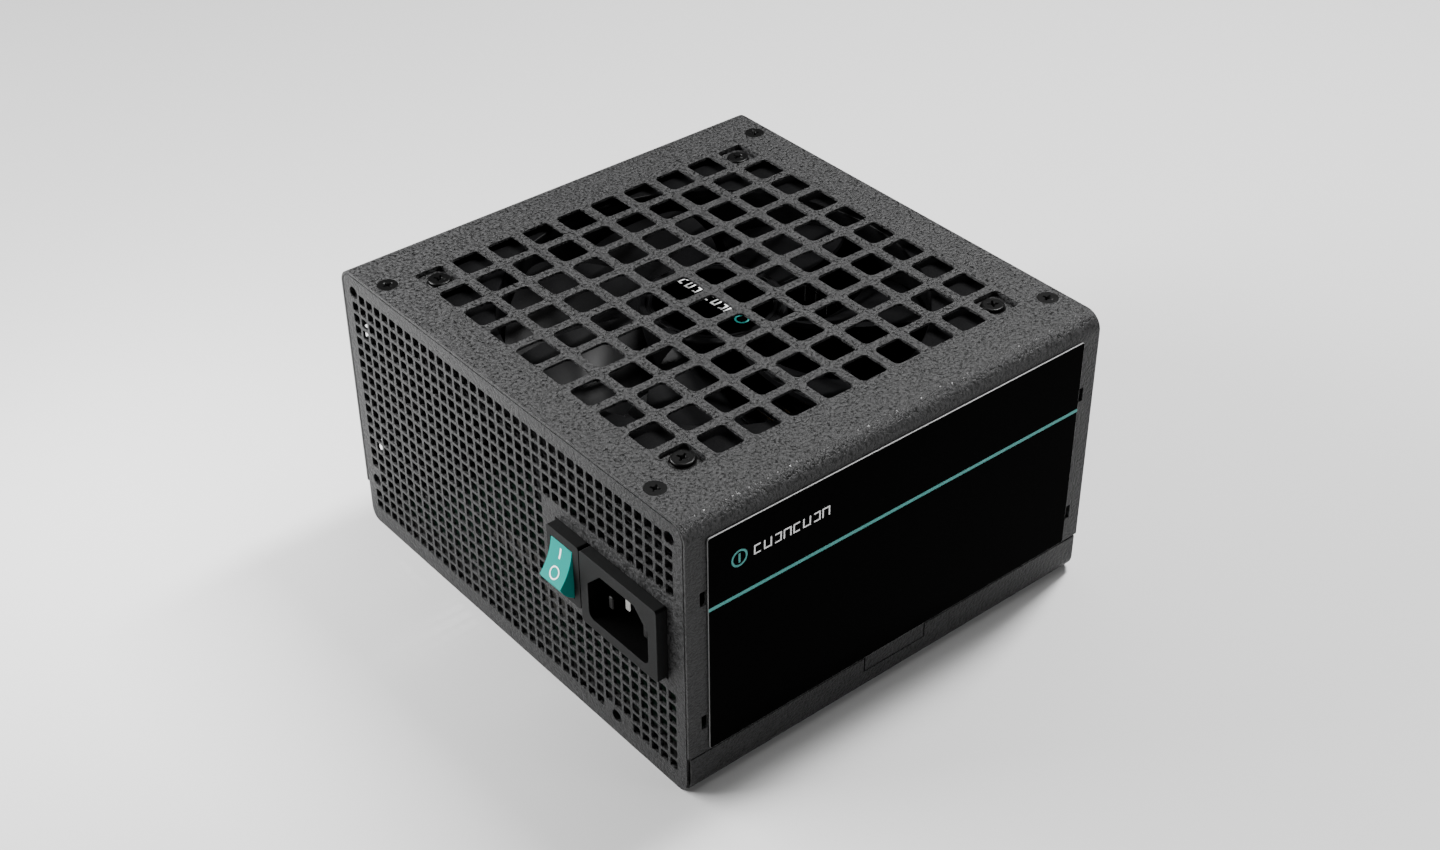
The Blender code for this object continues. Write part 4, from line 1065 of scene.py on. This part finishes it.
seat(mark, "hub_label_ring", "rotor", weighted=False)

# %% [markdown]
# ## Cable grommet
# The output cables leave through an oval rubber grommet that grips the wall between two lips. A
# thin web with slits closes the bore when no cable fills it and keeps light and dust out.

# %% Grommet
LIP = ((-56.5, 26.5), (-13.5, 53.5), 1.2, (13.0,) * 4)
NECK = ((-54.0, 29.0), (-16.0, 51.0), 5.0, (10.5,) * 4)
OUTER_LIP_Y, INNER_LIP_Y, NECK_Y = 70.3, 67.7, 66.5
lips = [slab(*LIP, axis="Y", at=y, segments=12) for y in (OUTER_LIP_Y, INNER_LIP_Y)]
grommet = combine(slab(*NECK, axis="Y", at=NECK_Y, segments=12), lips, "UNION")
bore = slab((-50.0, 33.0), (-20.0, 47.0), 9, (6.4,) * 4, axis="Y", at=64, segments=12)
soften(combine(grommet, [bore]), 0.3, segments=3, angle=60)
web = slab((-51.0, 32.0), (-19.0, 48.0), 0.8, (6.8,) * 4, axis="Y", at=69.0, segments=12)
slits = [block((-46, 68, 39.85), (-24, 71, 40.15))]
slits += [block((x - 0.15, 68, 34.5), (x + 0.15, 71, 45.5)) for x in (-40, -35, -30)]
combine(web, slits)
pick(web, grommet)
bpy.ops.object.join()
RUBBER = finish("grommet_rubber", (0.01,) * 3, (0.02,) * 3, (0.5, 0.65), grain=0.35, bump=0.01)
grommet.data.materials.append(RUBBER)
seat(grommet, "cable_grommet_fine", "case", ["cable_grommet"])

# %% [markdown]
# ## What shows through the vents
# The board and its components keep their CAD shapes and get a finish each, with a live bevel so
# that their edges catch a little light. The finishes are darker than the real ones as painted
# shade, because the inside of such a case lies in shade and its openings look almost black under
# studio lamps.

# %% Inner finishes
# These colours are set well below the real parts' colours: painted shade for the inside of the
# case.
BOARD = finish("board_laminate", (0.001, 0.008, 0.004), (0.002, 0.014, 0.007), (0.45, 0.6),
               grain=1.2, drift=12, bump=0.02, specular=0.15)
FILM = finish("insulating_film", (0.02, 0.02, 0.019), (0.03, 0.03, 0.028), (0.4, 0.6), grain=1.0,
              bump=0.01, specular=0.2)
ALUMINIUM = finish("aluminium", (0.07, 0.072, 0.075), (0.11, 0.112, 0.116), (0.4, 0.5), grain=0.3,
                   bump=0.01, metallic=1.0)
STEEL = finish("steel", (0.12, 0.12, 0.122), (0.18, 0.18, 0.184), (0.3, 0.45), grain=0.4,
               bump=0.006, metallic=1.0)
EPOXY = finish("epoxy_black", (0.012,) * 3, (0.022,) * 3, (0.45, 0.6), grain=0.2, bump=0.02)
FERRITE = finish("ferrite", (0.018, 0.018, 0.019), (0.04, 0.04, 0.042), (0.55, 0.75), grain=0.35,
                 bump=0.03)
COPPER = finish("copper_winding", (0.07, 0.025, 0.008), (0.12, 0.045, 0.015), (0.3, 0.45),
                grain=0.6, bump=0.01, metallic=1.0)
TAPE = finish("yellow_tape", (0.06, 0.038, 0.005), (0.09, 0.058, 0.008), (0.4, 0.55), grain=1.0,
              bump=0.01, specular=0.2)
SLEEVE = finish("capacitor_sleeve", (0.006, 0.008, 0.03), (0.012, 0.016, 0.05), (0.25, 0.35),
                grain=0.8, bump=0.006)
PALE = finish("pale_plastic", (0.03, 0.0295, 0.027), (0.045, 0.044, 0.04), (0.45, 0.6), grain=0.4,
              bump=0.008, specular=0.2)
INNER = {
    BOARD: ("main_board", "fan_board"),
    FILM: ("insulating_sheet",),
    ALUMINIUM: ("primary_heatsink", "secondary_heatsink"),
    STEEL: ("board_screw_", "fan_shaft", "fan_bearing"),
    EPOXY: ("primary_transistor_", "bridge_rectifier", "output_rectifier"),
    FERRITE: ("main_transformer_core", "rotor_magnet"),
    COPPER: ("power_factor_choke", "line_filter_choke", "output_inductor", "fan_stator"),
    TAPE: ("main_transformer_winding", "standby_transformer"),
    SLEEVE: ("bulk_capacitor", "output_capacitor_"),
    PALE: ("line_filter_capacitor", "mains_fuse", "fan_connector"),
    TIN: ("standoff_", "switch_contact", "switch_terminal_"),
}
for material, starts in INNER.items():
    for name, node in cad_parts.items():
        if name.startswith(starts):
            node.data.materials.clear()
            node.data.materials.append(material)
            edge = node.modifiers.new("edge", "BEVEL")
            edge.width, edge.segments = 0.15 * MM, 2
            edge.limit_method, edge.angle_limit = "ANGLE", math.radians(50)

# %% [markdown]
# ## Stage
# A plain pale floor and large soft lamps, as on a product table. The camera stands above and to
# the right of the mains wall.

# %% Floor, lamps and world
bpy.ops.mesh.primitive_plane_add(size=4, location=(0, 0, 0))
floor = bpy.context.object
floor.name = "floor"
floor_finish = bpy.data.materials.new("floor_white")
floor_finish.use_nodes = True
floor_shader = floor_finish.node_tree.nodes["Principled BSDF"]
floor_shader.inputs["Base Color"].default_value = (0.5, 0.5, 0.5, 1)
floor_shader.inputs["Roughness"].default_value = 0.9
floor.data.materials.append(floor_finish)

world = bpy.data.worlds.new("studio")
bpy.context.scene.world = world
world.use_nodes = True
world.node_tree.nodes["Background"].inputs["Color"].default_value = (1, 1, 1, 1)
world.node_tree.nodes["Background"].inputs["Strength"].default_value = 0.06


def lamp(name, place, target, size, power):
    """A soft rectangular lamp that looks at a target."""
    data = bpy.data.lights.new(name, "AREA")
    data.shape = "RECTANGLE"
    data.size, data.size_y = (value * MM for value in size)
    data.energy = power
    obj = bpy.data.objects.new(name, data)
    bpy.context.scene.collection.objects.link(obj)
    obj.location = mm(*place)
    obj.rotation_euler = (Vector(mm(*target)) - obj.location).to_track_quat("-Z", "Y").to_euler()
    return obj


lamp("key_front_left", (-420, -560, 360), (0, -60, 40), (400, 300), 12)
lamp("top_soft", (-60, 220, 820), (0, 0, 60), (800, 600), 4)
lamp("bend_band", (-20, 450, 820), (70, 0, 80), (110, 420), 21)
lamp("wall_band", (-150, -150, 170), (-50, -72, 84), (90, 90), 0.85)
lamp("edge_strip", (650, 358, 255), (75, 0, 82), (260, 40), 1.8)

# %% Camera
AZIMUTH, ELEVATION, ROLL = (math.radians(angle) for angle in (50.739, 35.974, -0.435))
flat = math.cos(ELEVATION)
back = Vector((math.sin(AZIMUTH) * flat, -math.cos(AZIMUTH) * flat, math.sin(ELEVATION)))
level = Vector((math.cos(AZIMUTH), math.sin(AZIMUTH), 0))
over = back.cross(level)
right = level * math.cos(ROLL) + over * math.sin(ROLL)
up = over * math.cos(ROLL) - level * math.sin(ROLL)
lens = bpy.data.cameras.new("camera")
lens.lens, lens.sensor_width = 53.06, 36
camera = bpy.data.objects.new("camera", lens)
bpy.context.scene.collection.objects.link(camera)
turn = Matrix((right, up, back)).transposed().to_4x4()
camera.matrix_world = Matrix.Translation(mm(372.26, -302.28, 389.39)) @ turn
bpy.context.scene.camera = camera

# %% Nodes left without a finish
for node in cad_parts.values():
    if not node.data.materials:
        print("bare node:", node.name)
